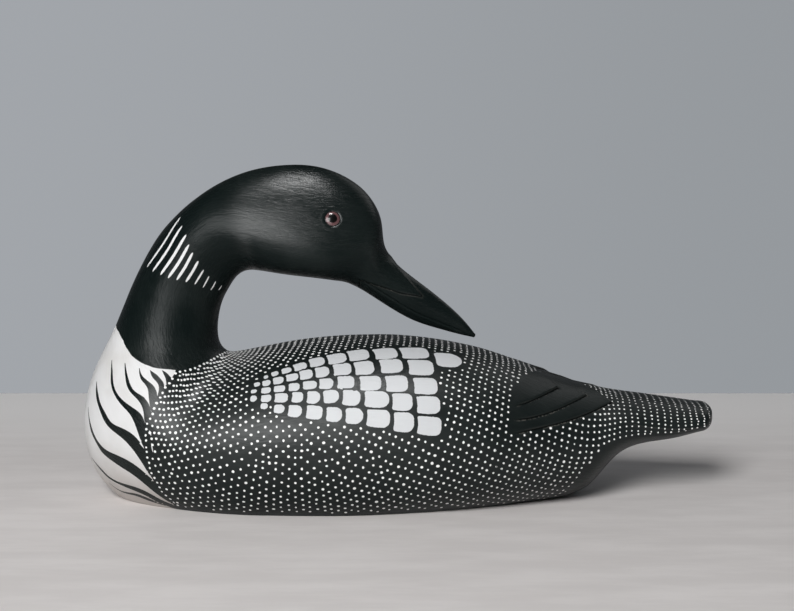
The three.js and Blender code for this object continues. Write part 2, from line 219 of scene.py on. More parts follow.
def feather_depths(along, down, per_degree):
    """Signed distance inside each feather's outline, in millimetres, and how far the feathers stand out."""
    depths = []
    for shape in FEATHERS:
        _, upper, lower = feather_edges(along, shape)
        below = (lower - down) * per_degree
        above = np.where(upper > 0, (down - upper) * per_degree, 9)
        depths.append(np.minimum(np.minimum(below, above), along - shape[0]))
    return np.stack(depths, axis=-1), smooth((WING_FRONT - along) / 9)


def wing_relief(along, down, per_degree):
    """Height of the three feathers: each rises as t^0.6 towards its tip, ends in a steep slope, and has a
    fine cut exp(-(d/w)^2) along its outline where no feather above covers it."""
    depths, share = feather_depths(along, down, per_degree)
    lift = np.zeros(share.shape)
    for k, shape in enumerate(FEATHERS):
        t, _, _ = feather_edges(along, shape)
        inside = depths[..., k]
        rise = (shape[5] * t ** 0.6 - 0.3 * (1 - t)) * (0.05 + 0.95 * smooth(down / 16))
        step = smooth(inside / FEATHER_EDGE + 0.5)
        cut = 0.4 * share * smooth((down - 3) / 9) * np.exp(-((inside + 0.6) / 0.55) ** 2)
        lift = np.where(inside > -0.5 * FEATHER_EDGE, np.maximum(lift, rise * step), lift - cut)
    return lift


def past_face(along, down, per_degree):
    """Distance past the end of the face's feathers: the difference along the bird, divided by
    sqrt(1 + slope^2) of the edge."""
    limit = np.interp(down, FACE_EDGE[:, 0], FACE_EDGE[:, 1])
    slope = np.interp(down + 1, FACE_EDGE[:, 0], FACE_EDGE[:, 1]) - limit
    return (along - limit) / np.sqrt(1 + (slope / per_degree) ** 2)


def past_arris(along, down, per_degree):
    """Distance below the soft edge along each side of the tail."""
    arris = np.interp(along, TAIL_ARRIS[:, 0], TAIL_ARRIS[:, 1])
    return (down - arris) * per_degree


def carving(along, down, point, per_degree):
    """Height of the carving above the smooth body at each point."""
    lift = wing_relief(along, down, per_degree)
    # the closed mouth: a groove exp(-(d/w)^2) about its line
    line = np.interp(along, MOUTH[:, 0], MOUTH[:, 1])
    reach = smooth((along - 546.5) / 4) * smooth((628 - along) / 8)
    lift -= 0.6 * reach * np.exp(-((down - line) * per_degree / 0.5) ** 2)
    # the bill lies a little below the face's feathers
    past = past_face(along, down, per_degree)
    lift -= 0.5 * smooth(past / 0.8 + 0.5) * smooth((625 - along) / 30) * smooth((down - 12) / 30)
    lift += 0.2 * np.exp(-((past + 1.2) / 1.2) ** 2) * smooth((down - 12) / 30)
    # the soft arris along each side of the tail
    below = past_arris(along, down, per_degree)
    lift += 0.35 * smooth((52 - along) / 12) * np.exp(-(below / 1.6) ** 2)
    lift -= 0.3 * smooth((50 - along) / 14) * np.exp(-((below - 9 * per_degree) / 2.2) ** 2)
    # the knife's long shallow facets, a sum of slow waves
    x, y, z = point[..., 0], point[..., 1], point[..., 2]
    lift += 0.06 * np.sin(x / 5.1 + 1.3 * np.sin(z / 9.0)) * np.sin(z / 6.3 + y / 8.7)
    lift += 0.05 * np.sin(x / 9.7 - z / 7.1 + y / 6.1)
    return lift


def eye_seat(side):
    """The eye's middle on the smooth head, and the way that it looks."""
    middle, normal, _ = skin_frame(np.array(EYE_PLACE[0]), np.array(EYE_PLACE[1]), side)
    return middle, normal


def sockets(point):
    """Depth of the eye's seat: sunk inside the rim, a fine groove round the glass and a low lid outside."""
    lift = np.zeros(point.shape[:-1])
    for side in (-1, 1):
        middle, look = eye_seat(side)
        away = np.linalg.norm(point - middle, axis=-1)
        lift -= 1.2 * smooth((EYE_RADIUS - 0.1 - away) / 0.8)
        lift -= 0.3 * np.exp(-((away - EYE_RADIUS - 0.2) / 0.35) ** 2)
        lift += 0.1 * np.exp(-((away - EYE_RADIUS - 1.2) / 0.8) ** 2)
    return lift


# The painted dots
# They lie where two families of curves cross. Each row gives a place (along, down), the step from a dot there
# to the next dot down its column, and the step to the next column behind, all as (along, down).
DOT_STEPS = np.array([
    [0, 10, 0, 8, -4.1, 0.5], [0, 40, 0, 8, -4.1, 0.8], [0, 70, 0, 8, -4.1, 1], [0, 100, 0, 8, -4.1, 1],
    [20, 5, -0.1, 5.5, -4.1, 0.4], [20, 15, -0.1, 6, -4.1, 0.5], [20, 30, -0.3, 8, -4.1, 1], [20, 55, -0.4, 8, -4.1, 1.5],
    [20, 80, -0.4, 8, -4.1, 1.5], [20, 105, -0.4, 8, -4.1, 1.5],
    [40, 5, -0.1, 5.5, -4.1, 0.4], [40, 15, -0.1, 6, -4.1, 0.5], [40, 30, -0.3, 8, -4.1, 1], [40, 55, -0.5, 8.4, -4, 1.5],
    [40, 80, -0.4, 8.4, -4.1, 1.5], [40, 105, -0.3, 8, -4.1, 1.5],
    [60, 5, 0, 4.5, -4.2, 0.3], [60, 30, -0.1, 6, -4.2, 0.8], [60, 55, -0.2, 6.5, -4.4, 0.8],
    [60, 80, -0.3, 6.8, -4.5, 0.8], [60, 105, 0, 7, -4.5, 1],
    [75, 85, 0.3, 5.7, -4.3, 0.8], [90, 80, 0.7, 4.7, -4, 0.9], [90, 100, 1.2, 5, -3.7, 1.5],
    [90, 120, 2, 6, -3.2, 2.2], [110, 130, 2.2, 5.3, -3.1, 2.5], [135, 130, 2.4, 4.9, -3.1, 2.4],
    [110, 5, 0.1, 3.1, -3.9, 0.3], [110, 85, 0.7, 4.6, -3.5, 2], [110, 110, 1.8, 5.2, -3.1, 2.4],
    [135, 5, 0.1, 3.1, -3.9, 0.3], [135, 30, 0.8, 4.2, -3.6, 0.6], [135, 60, 0.2, 4, -3.7, 1.3],
    [135, 100, 1, 4.5, -3.5, 2.2],
    [150, 30, 0.8, 4.2, -3.6, 0.6], [150, 50, 0.2, 3.8, -3.6, 1.2], [150, 80, 0.7, 4.2, -3.6, 1.6],
    [150, 120, 2, 4.7, -3.3, 1.7],
    [170, 5, 0.1, 3, -3.8, 0.4], [170, 20, 0.5, 3, -3.8, 0.7],
    [190, 90, 1.9, 3.7, -3.9, 1.4], [190, 125, 2.8, 3.6, -3.1, 3], [190, 145, 2.8, 3.6, -3.1, 3],
    [200, 5, 0.1, 3, -3.8, 0.6], [200, 20, 0.6, 3, -3.7, 0.9],
    [230, 5, 0.1, 3, -3.9, 0.8], [230, 18, 0.8, 3, -3.6, 1.2], [230, 80, 2.5, 3.1, -3.1, 2.8],
    [230, 100, 3.3, 2.9, -3.1, 2.4], [230, 125, 3.4, 2.5, -3.6, 2], [230, 145, 3.2, 2.4, -3.6, 2.2],
    [250, 4, -0.4, 2.7, -4.1, 0.7], [250, 15, 0.9, 2.7, -3.6, 1.6],
    [265, 20, 1.8, 2.7, -3.5, 2.1], [265, 75, 3.4, 2.4, -4.2, 3.2], [265, 100, 3.6, 1.5, -3.9, 2.7],
    [265, 125, 3.6, 1.7, -4, 2.8], [265, 145, 3.4, 1.8, -4, 2.8],
    [285, 4, -0.6, 2.7, -5.2, 0.8], [285, 12, 0.6, 2.7, -4.8, 1.4], [285, 20, 2.4, 2.7, -3.5, 2.3],
    [285, 40, 3.9, 2.5, -4.9, 2.2], [285, 60, 3.8, 2.4, -4.6, 2.9], [285, 90, 3.8, 1.6, -3.6, 3.4],
    [285, 120, 3.1, 1.5, -3, 3.1], [285, 140, 3, 1.6, -3, 3],
    [300, 8, 0.8, 2.7, -5.4, 1.2], [300, 25, 4, 2.7, -5.4, 2], [300, 40, 4.2, 2.5, -5.1, 2], [300, 60, 3.7, 2.1, -4.9, 2.2],
    [300, 80, 3.5, 1.8, -4.2, 2.8], [300, 100, 3, 1.8, -2.9, 3.3], [300, 120, 2.7, 1.8, -2.7, 2.8],
    [315, 15, 3.5, 2.8, -6, 1.6], [315, 30, 4.5, 2.8, -5.2, 1.9], [315, 50, 3.7, 2.5, -4.8, 1.6],
    [315, 75, 3.1, 2.3, -3.7, 2.1], [315, 95, 2.5, 2.5, -2.9, 3.3],
    [325, 40, 4.1, 3, -5.1, 1.6], [325, 60, 2.9, 2.9, -4.2, 1.5], [325, 80, 2.5, 2.9, -2.6, 2.5],
    [325, 100, 2.3, 3.1, -2.6, 3.3],
    [335, 50, 3.1, 3.2, -3.4, 2], [335, 70, 2.3, 3.1, -2.3, 2.4], [335, 85, 2, 3.3, -2, 2.6],
    [345, 62, 2.1, 3.2, -2.7, 1.8],
])
DOT_ORDER = (12, 9)  # highest terms of the two families along and down
DOT_FIELD = ((-10, 360), (0, 150))
DOT_SMOOTHNESS = 0.01
DOT_RADIUS = 0.64
DOT_SEED = 41

# Limits of the painted fields, as (degrees down, place along).
NECK_LINE = np.array([[0, 324.6], [15, 334.5], [34, 343.7], [48, 350.7], [60.5, 356.9], [68.2, 361.1],
                      [77.2, 364.5], [87.2, 367.9], [95.2, 370.8], [103.2, 373.8], [111.2, 376.7],
                      [118.8, 379.7], [133, 384.5], [147, 387.3], [165, 388.8], [180, 389]])
BREAST_LINE = np.array([[60.5, 356.9], [64.8, 352.7], [72, 348.9], [77, 345.5], [85.2, 340], [93.2, 337.8],
                        [104, 329], [121, 315.5], [138, 302.8], [150, 293], [180, 272]])
REAR_LINE = np.array([[0, 104], [3, 105.6], [20, 114.1], [36, 121.8], [51, 125.4], [74, 124.6], [90, 124]])
# Below and behind this line the stern and the underside of the tail are plain black: (place, degrees down).
STERN_LINE = np.array([[-8, 92], [8.5, 97], [32.4, 97], [45, 94], [56.3, 88], [67.6, 90], [73.9, 104], [81, 126],
                       [88, 150], [96, 180]])

# The white windows on the back
# Each window: place along, degrees down, length, height, tilt in degrees with the rear end lower, and how
# round its rear end is. Five rows from the middle of the back outwards, each from its rear window forwards,
# and last the leaf behind the uppermost row.
WINDOWS = np.array([
    [179.9, 22.8, 17, 12.8, -11, 0.5], [196.3, 25, 13.9, 12, -12, 0.45], [211.9, 26.3, 12.6, 11.4, -11, 0.5],
    [224.5, 28.9, 11.4, 10, -12, 0.6], [236.3, 30.9, 9.3, 8.5, -12, 0.65], [246.4, 33.5, 7.9, 6.6, -14, 0.6],
    [254.8, 35.5, 6, 4.8, -12, 0.7], [262.3, 36.8, 4.4, 4, -13, 0.8], [268.1, 38.5, 2.9, 2.8, -15, 0.9],
    [176.4, 35.9, 15.2, 12.9, -5, 0.5], [192.9, 36, 13.4, 11.7, -7, 0.55], [208.3, 37.6, 11.6, 11.2, -8, 0.5],
    [220.9, 38.3, 10.7, 10, -6, 0.5], [232.6, 39.4, 8.4, 8.3, -6, 0.75], [242.2, 40.4, 7.9, 7.4, -7, 0.6],
    [250.7, 41.4, 7.2, 5.6, -7, 0.65], [259.4, 42.5, 6.4, 5.4, -6, 0.7], [267.1, 43.2, 5, 4.5, -5, 0.8],
    [273.7, 43.4, 3.9, 3.2, -12, 0.9],
    [173.7, 49.5, 14, 11.2, -5, 0.5], [189.7, 48.9, 13, 11.1, -4, 0.45], [204.4, 48.8, 12.4, 10, -2, 0.5],
    [218.5, 48, 9.9, 9, 1, 0.55], [229.8, 48, 8.3, 7.6, 2, 0.7], [239.4, 48.2, 8.2, 5.8, 1, 0.8],
    [248.9, 48.5, 6.6, 5.4, 1, 0.7], [257.9, 48.6, 6.6, 4.5, 2, 0.6], [266.6, 48.6, 5.8, 4.2, 2, 0.7],
    [275, 48.3, 3.7, 2.7, 1, 0.9],
    [171.9, 61.6, 13.7, 10.5, -3, 0.55], [186.4, 60.6, 11.9, 10.4, 0, 0.55], [200.7, 59.2, 14.2, 10, 2, 0.8],
    [215, 58, 10.4, 9.6, 5, 0.6], [226.6, 56.6, 9.2, 8.2, -4, 0.85], [236.8, 56.5, 7.8, 7.8, 6, 0.8],
    [246.3, 55.5, 6.7, 6.6, 6, 0.6], [256.2, 54.8, 7.8, 6, 6, 0.6], [265.8, 54.1, 6.2, 5, 6, 0.8],
    [274.3, 53.4, 4.1, 4.1, 4, 0.9],
    [171.1, 74, 14, 10.6, 1, 0.45], [185.4, 72.5, 11.9, 11.1, 1, 0.6], [199.6, 70.5, 13.4, 10.2, 4, 0.6],
    [213.1, 68.9, 10.3, 9.1, 3, 0.9], [224.5, 67.6, 9.2, 8.4, 6, 0.8], [235.8, 65.7, 9.4, 8, 9, 0.55],
    [247.2, 64, 8, 7, 9, 0.75], [256.8, 61.8, 6.3, 5.2, 8, 0.85], [266.3, 59.2, 4.4, 3.6, 10, 0.9],
    [161.1, 26.1, 16.6, 14.2, -8, 1],
])


def window_frames(side):
    """Middle of each window on one side, and its unit axes towards the rear and downwards, turned by the
    window's tilt within the surface."""
    along, down, _, _, tilt, _ = WINDOWS.T
    middle, normal, _ = skin_frame(along, down, side)
    rear = on_bird(along - 1, down, side) - middle
    rear /= np.linalg.norm(rear, axis=1, keepdims=True)
    lower = np.cross(normal, rear) * side
    turn = np.radians(tilt)[:, None]
    return middle, rear * np.cos(turn) + lower * np.sin(turn), lower * np.cos(turn) - rear * np.sin(turn)


# The stripes of the breast
# Upper and lower edge of each black stripe from its fine start to the point of the white beyond it, as
# (place along, degrees down).
STRIPES = [
    ([[362, 74], [359, 70], [356, 67.5], [352.7, 65]], [[362, 74], [359, 72], [355.6, 70], [351.8, 69]]),
    ([[365.3, 86.5], [361.5, 80], [356.9, 75], [352.7, 72], [348.9, 71.5]],
     [[365.3, 86.5], [361.1, 83], [356.5, 78], [352.7, 75.5], [347.2, 76.5]]),
    ([[368.3, 98], [363.6, 93.5], [359.4, 87], [354.8, 81], [349.7, 78], [345.9, 77.5]],
     [[368.3, 98], [363.6, 95], [359.8, 91], [356, 86.5], [351, 84.5], [340.8, 85]]),
    ([[372.9, 115], [366.6, 108], [362.4, 104], [357.3, 98.5], [353.5, 93], [349.3, 88], [344.6, 85],
      [340.4, 85]],
     [[372.9, 115], [365.8, 109], [361.5, 105.5], [357.7, 101.5], [353.1, 96], [348.9, 92.5], [344.2, 91],
      [338.3, 93]]),
    ([[375, 134], [370, 126.5], [365.8, 122], [361.1, 116.5], [356.9, 110.5], [352.2, 103.5], [348, 98],
      [343.4, 94], [338.7, 93]],
     [[375, 134], [370, 128], [365.3, 123.5], [361.1, 118.5], [356.9, 113], [352.2, 107], [347.2, 102],
      [342.1, 100], [329.4, 103.5]]),
    ([[366.6, 146], [362, 138], [357.7, 131.5], [353.1, 124.5], [348.4, 119], [344.2, 112], [340.4, 107],
      [335.8, 104], [329, 104]],
     [[366.6, 146], [361.1, 139.5], [356, 132], [351.8, 127], [347.2, 121.5], [342.9, 116], [337.5, 111.5],
      [332.8, 110.5], [315.9, 120]]),
    ([[357.3, 152], [352.7, 146.5], [348.4, 141.5], [343.8, 136], [340, 131], [336.2, 125], [331.5, 120],
      [326.1, 118], [315.5, 120.5]],
     [[357.3, 152], [352.7, 148], [348.4, 144], [344.2, 139], [340, 135.5], [335.8, 131], [330.7, 127],
      [324.4, 125], [303.2, 137.5]]),
    ([[340, 156], [335.3, 148], [331.5, 145], [327.7, 141], [323.5, 136], [319.3, 133], [314.2, 133],
      [309.2, 135.5], [303.2, 138]],
     [[340, 156], [335.3, 150], [331.5, 147], [327.7, 143], [323.1, 139], [319.3, 137], [314.6, 137],
      [311.3, 139], [307.5, 141]]),
    ([[329, 152], [324.4, 148.5], [321.4, 143.5], [318, 139.5], [314.6, 139], [310.4, 140]],
     [[329, 152], [324.8, 150], [321.4, 146], [318.4, 142.5], [314.6, 142], [311.3, 142]]),
]
# The strokes of the necklace, each through three places, and two slips of the brush behind the stripes.
NECKLACE = [
    [[443, 152], [431, 141], [417.6, 146]], [[441.5, 134], [429.6, 127], [417.6, 131]],
    [[440.8, 118], [429.6, 114], [418.3, 117]], [[438.7, 105], [428.9, 102.5], [419, 105]],
    [[437.3, 94], [428.9, 92], [420.4, 93.5]], [[435.9, 82], [428.9, 81], [421.8, 82]],
    [[433.8, 70], [428.2, 70], [423.2, 70.5]], [[432.4, 59], [428.2, 58.5], [423.9, 58.5]],
    [[431.7, 46], [428.2, 45.5], [424.6, 46]], [[431, 32], [428.9, 32], [426.8, 33]],
]
NECKLACE_HALF_WIDTHS = [0.75, 0.8, 0.85, 0.85, 0.78, 0.72, 0.55, 0.42, 0.42, 0.4]
SLIVERS = [[[333, 92.8], [332, 93.4], [330.8, 94]], [[327.6, 98], [326, 100], [324.2, 102]]]


def curve_on(places, side, step=0.6):
    """A smooth curve through places on one side: natural spline by the distance between them, as points,
    unit tangents, normals of the body, and running length."""
    places = np.array(places, float)
    corners = on_bird(places[:, 0], places[:, 1], side)
    knots = np.concatenate([[0], np.cumsum(np.linalg.norm(np.diff(corners, axis=0), axis=1))])
    at = np.linspace(0, knots[-1], max(8, int(knots[-1] / step)))
    fine = spline(knots, places, bends(knots, places), at)
    point, normal, _ = skin_frame(fine[:, 0], fine[:, 1], side)
    tangent = np.gradient(point, axis=0)
    tangent /= np.linalg.norm(tangent, axis=1, keepdims=True)
    length = np.concatenate([[0], np.cumsum(np.linalg.norm(np.diff(point, axis=0), axis=1))])
    return point, tangent, normal, length


def offset_from(curve, points, side):
    """Signed distance of points across a curve, positive on its upper side, and their place along it."""
    point, tangent, normal, length = curve
    nearest = np.argmin(((points[:, None, :] - point[None]) ** 2).sum(-1), axis=1)
    away = points - point[nearest]
    sideways = np.cross(normal[nearest], tangent[nearest])
    across = -side * (away * sideways).sum(-1)
    return across, length[nearest] + (away * tangent[nearest]).sum(-1)


# The body's surface
RING_SPACING = np.array([[-8.5, 0.8], [0, 1.2], [45, 1.3], [54, 0.8], [126, 0.8], [136, 1.5], [290, 1.5],
                         [304, 1.3], [450, 1.3], [470, 1.0], [505, 0.8], [560, 0.8], [600, 0.95],
                         [635.5, 0.7]])
RINGS = 596
SKIN_SUNK = 0.07  # the whole skin lies this far inside the smooth body
GIRTH_POINTS = 160


def ring_places():
    """Places of the rings: equal steps of the integral of 1/spacing, and closer still at the two poles."""
    fine = np.linspace(-TAIL_ROUNDING, BILL_TIP + BILL_ROUNDING, 9000)
    density = 1 / np.interp(fine, RING_SPACING[:, 0], RING_SPACING[:, 1])
    total = np.concatenate([[0], np.cumsum((density[1:] + density[:-1]) / 2 * np.diff(fine))])
    places = np.interp(np.linspace(0, total[-1], RINGS), total, fine)
    tail = -TAIL_ROUNDING * np.sin(np.linspace(np.pi / 2, 0, 14))[1:-1]
    bill = BILL_TIP + BILL_ROUNDING * np.sin(np.linspace(0, np.pi / 2, 7))[1:-1]
    return np.concatenate([tail, places[(places >= 0) & (places <= BILL_TIP)], bill])


def girth_angles(along):
    """Angles round each ring: equal steps of the girth, weighted so that points lie close together on the
    carved feathers and the eyes, and far apart where the table's plane will cut them away."""
    turn = np.linspace(0, 2 * np.pi, 961)
    rows = rows_at(along)[:, None, :]
    ring = section(rows, turn[None, :])
    down = np.degrees(np.minimum(turn, 2 * np.pi - turn))[None, :]
    place = along[:, None]
    weight = 1 + 1.2 * smooth((place - 48) / 8) * smooth((134 - place) / 8) * smooth((84 - down) / 8)
    weight += 0.9 * smooth((place - 502) / 6) * smooth((542 - place) / 6) * smooth(1 - np.abs(down - 124) / 26)
    weight *= 0.1 + 0.9 * smooth((ring[..., 2] + 4) / 5)
    lengths = np.linalg.norm(np.diff(ring, axis=1), axis=-1) + 1e-9
    steps = lengths * (weight[:, 1:] + weight[:, :-1]) / 2
    total = np.concatenate([np.zeros((len(along), 1)), np.cumsum(steps, axis=1)], axis=1)
    share = np.linspace(0, 1, GIRTH_POINTS + 1)[:-1]
    return np.stack([np.interp(share * row[-1], row, turn) for row in total])


def carved_grid():
    """The carved body as rings of points: the smooth body moved along its normals by the carving."""
    along = ring_places()
    angle = girth_angles(along)
    place = np.broadcast_to(along[:, None], angle.shape)
    side = np.where(angle <= np.pi, 1.0, -1.0)
    down = np.degrees(np.minimum(angle, 2 * np.pi - angle))
    point = section(rows_at(place), angle)
    forward = np.gradient(point, axis=0)
    round_ = np.roll(point, -1, axis=1) - np.roll(point, 1, axis=1)
    normal = np.cross(round_, forward)
    normal /= np.linalg.norm(normal, axis=-1, keepdims=True) + 1e-12
    _, _, per_degree = skin_frame(place, np.clip(down, 0.2, 179.8), side)
    lift = (carving(place, down, point, per_degree) + sockets(point)) * smooth((place + 2) / 8) - SKIN_SUNK
    step = np.linalg.norm(point - np.roll(point, 1, axis=1), axis=-1)
    girth = np.cumsum(step, axis=1) - step[:, :1]
    girth = np.minimum(girth, girth[:, -1:] + step[:, :1] - girth) * side
    depths, share = feather_depths(place, down, per_degree)
    near_bill = smooth((place - 545) / 4) * smooth((down - 12) / 20)
    edges = np.stack([past_face(place, down, per_degree), near_bill, past_arris(place, down, per_degree)], axis=-1)
    return place, down, point + normal * lift[..., None], girth, depths, share, edges


def new_mesh(name, vertices, faces):
    mesh = bpy.data.meshes.new(name)
    mesh.from_pydata((np.asarray(vertices) * MM).tolist(), [], [list(face) for face in faces])
    mesh.update()
    return mesh


def piece(name, mesh, body="root"):
    thing = bpy.data.objects.new(name, mesh)
    bpy.context.scene.collection.objects.link(thing)
    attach(thing, body)
    return thing


def give(mesh, name, kind, domain, values):
    layer = mesh.attributes.new(name, kind, domain)
    key = "value" if kind == "FLOAT" else "vector"
    layer.data.foreach_set(key, np.ascontiguousarray(values, np.float32).ravel())


def body_mesh():
    """Rings joined into quads, one point at each pole, cut flat at the table, with a plain underside."""
    place, down, point, girth, depths, share, edges = carved_grid()
    rings, count = down.shape
    top_and_bottom = np.array([0.0, np.pi])
    tail_pole = section(rows_at(SKIN_SUNK - TAIL_ROUNDING), top_and_bottom).mean(axis=0)
    bill_pole = section(rows_at(BILL_TIP + BILL_ROUNDING - SKIN_SUNK), top_and_bottom).mean(axis=0)
    vertices = np.concatenate([point.reshape(-1, 3), [tail_pole], [bill_pole]])
    number = np.arange(rings * count).reshape(rings, count)
    beside = np.roll(number, -1, axis=1)
    quads = np.stack([number[:-1], beside[:-1], beside[1:], number[1:]], axis=-1).reshape(-1, 4)
    tail = np.stack([np.full(count, rings * count), beside[0], number[0]], axis=-1)
    bill = np.stack([number[-1], beside[-1], np.full(count, rings * count + 1)], axis=-1)
    mesh = new_mesh("painted_body", vertices, quads.tolist() + tail.tolist() + bill.tolist())
    for name, values, poles in (("along", place, (-TAIL_ROUNDING, BILL_TIP + BILL_ROUNDING)),
                                ("down", down, (90, 90)), ("feather_share", share, (0, 0))):
        give(mesh, name, "FLOAT", "POINT", np.concatenate([values.ravel(), poles]))
    brush = np.stack([place, girth, place * 0], axis=-1).reshape(-1, 3)
    give(mesh, "brush", "FLOAT_VECTOR", "POINT", np.concatenate([brush, brush[[0, -1]]]))
    edges = edges.reshape(-1, 3)
    give(mesh, "edges", "FLOAT_VECTOR", "POINT", np.concatenate([edges, edges[[0, -1]]]))
    depths = depths.reshape(-1, 3)
    give(mesh, "feathers", "FLOAT_VECTOR", "POINT", np.concatenate([depths, depths[[0, -1]] - 99]))
    shape = bmesh.new()
    shape.from_mesh(mesh)
    cut = bmesh.ops.bisect_plane(shape, geom=shape.verts[:] + shape.edges[:] + shape.faces[:], dist=1e-7,
                                 plane_co=(0, 0, 0), plane_no=(0, 0, -1), clear_outer=True)
    rim = [e for e in cut["geom_cut"] if isinstance(e, bmesh.types.BMEdge)]
    flat = bmesh.ops.contextual_create(shape, geom=rim)["faces"]
    for face in flat:
        face.material_index = 1
        face.normal_update()
        if face.normal.z > 0:
            face.normal_flip()
    for face in shape.faces:
        face.smooth = face not in flat
    for e in rim:
        e.smooth = False
    shape.to_mesh(mesh)
    shape.free()
    return mesh


# Paint places
def family_terms(along, down):
    """Products of Chebyshev polynomials of the place, which runs from -1 to 1 over the dotted field."""
    ends = np.array(DOT_FIELD)
    across = 2 * (along - ends[0, 0]) / (ends[0, 1] - ends[0, 0]) - 1
    around = 2 * (down - ends[1, 0]) / (ends[1, 1] - ends[1, 0]) - 1
    return chebyshev.chebvander2d(np.clip(across, -1.1, 1.1), np.clip(around, -1.1, 1.1), DOT_ORDER)


def steps_at(along, down):
    """Both steps at any place: the mean of all rows of DOT_STEPS, with weights 1 / (distance^2 + c)^2."""
    across = (along[:, None] - DOT_STEPS[:, 0]) / 12
    around = (down[:, None] - DOT_STEPS[:, 1]) / 10
    weight = 1 / (across ** 2 + around ** 2 + 0.15) ** 2
    return weight @ DOT_STEPS[:, 2:] / weight.sum(axis=1, keepdims=True)


def dot_families():
    """Weights of the two families, by least squares on a net of places: over the steps there the column's
    number grows by 0 and 1 and the row's number by 1 and 0, and higher terms cost as their order squared."""
    along, down = np.meshgrid(np.linspace(0, 352, 45), np.linspace(2, 148, 24), indexing="ij")
    along, down = along.ravel(), down.ravel()
    steps = steps_at(along, down)
    changes = []
    for first in (0, 2):
        half_along, half_down = steps[:, first] / 2, steps[:, first + 1] / 2
        changes.append(family_terms(along + half_along, down + half_down)
                       - family_terms(along - half_along, down - half_down))
    m, n = np.meshgrid(np.arange(DOT_ORDER[0] + 1), np.arange(DOT_ORDER[1] + 1), indexing="ij")
    cost = DOT_SMOOTHNESS * (m ** 2 + (1.6 * n) ** 2).ravel() / 4
    cost[0] = 1e-6
    system = np.concatenate(changes + [np.diag(cost)])
    none, one = np.zeros(len(along)), np.ones(len(along))
    rest = np.zeros(len(cost))
    columns = np.linalg.lstsq(system, np.concatenate([none, one, rest]), rcond=None)[0]
    rows = np.linalg.lstsq(system, np.concatenate([one, none, rest]), rcond=None)[0]
    return columns, rows


def crossings(turn, shift):
    """Places where the row's number plus the turn and the column's number plus the shift are both whole: of
    the points of a fine net the nearest one to each pair, moved on by one step of Newton's method."""
    step = 0.5
    along, down = np.meshgrid(np.arange(-8, 376, step), np.arange(0, 152, step), indexing="ij")
    terms = family_terms(along, down)
    columns, rows = dot_families()
    u, v = terms @ columns + shift, terms @ rows + turn
    u_along, u_down = np.gradient(u, step, step)
    v_along, v_down = np.gradient(v, step, step)
    area = u_along * v_down - u_down * v_along
    area = np.where(np.abs(area) < 1e-3, 1e-3, area)
    i, j = np.round(u), np.round(v)
    pair = ((i - i.min()) * 4000 + (j - j.min())).ravel()
    order = np.lexsort((np.hypot(u - i, v - j).ravel(), pair))
    chosen = order[np.concatenate([[True], np.diff(pair[order]) > 0])]
    move_along = (((u - i) * v_down - (v - j) * u_down) / area).ravel()[chosen]
    move_down = (((v - j) * u_along - (u - i) * v_along) / area).ravel()[chosen]
    found = np.stack([along.ravel()[chosen] - move_along, down.ravel()[chosen] - move_down], axis=1)
    return found[(np.abs(move_along) < 2 * step) & (np.abs(move_down) < 2 * step)]


def dotted(along, down, side):
    """True where dots are painted: behind the neck's line, outside the windows and the wing tips, and above
    the stern's line. Also the places themselves."""
    point, _, _ = skin_frame(along, down, side)
    neck = np.interp(down, NECK_LINE[:, 0], NECK_LINE[:, 1])
    middle, rear_axis, low_axis = window_frames(side)
    away = point[:, None, :] - middle[None]
    across = np.abs((away * rear_axis[None]).sum(-1)) - WINDOWS[None, :, 2] / 2
    updown = np.abs((away * low_axis[None]).sum(-1)) - WINDOWS[None, :, 3] / 2
    near_window = (np.maximum(across, updown) < 1.5).any(axis=1)
    _, upper, lower = feather_edges(along, FEATHERS[0])
    rear = np.interp(down, REAR_LINE[:, 0], REAR_LINE[:, 1])
    on_wing_tip = (along < rear + 0.5) & (down < lower + 1.6) & (down > upper - 1.5) & (along > 55.5)
    on_wing_tip |= (along < rear + 0.5) & (along > 78) & (down < lower + 1.6)
    stern = down > np.interp(along, STERN_LINE[:, 0], STERN_LINE[:, 1])
    plain = near_window | on_wing_tip | (stern & (along < 96))
    return (along < neck - 1.2) & (point[:, 2] > 2.6) & (along > -4.6) & ~plain, point


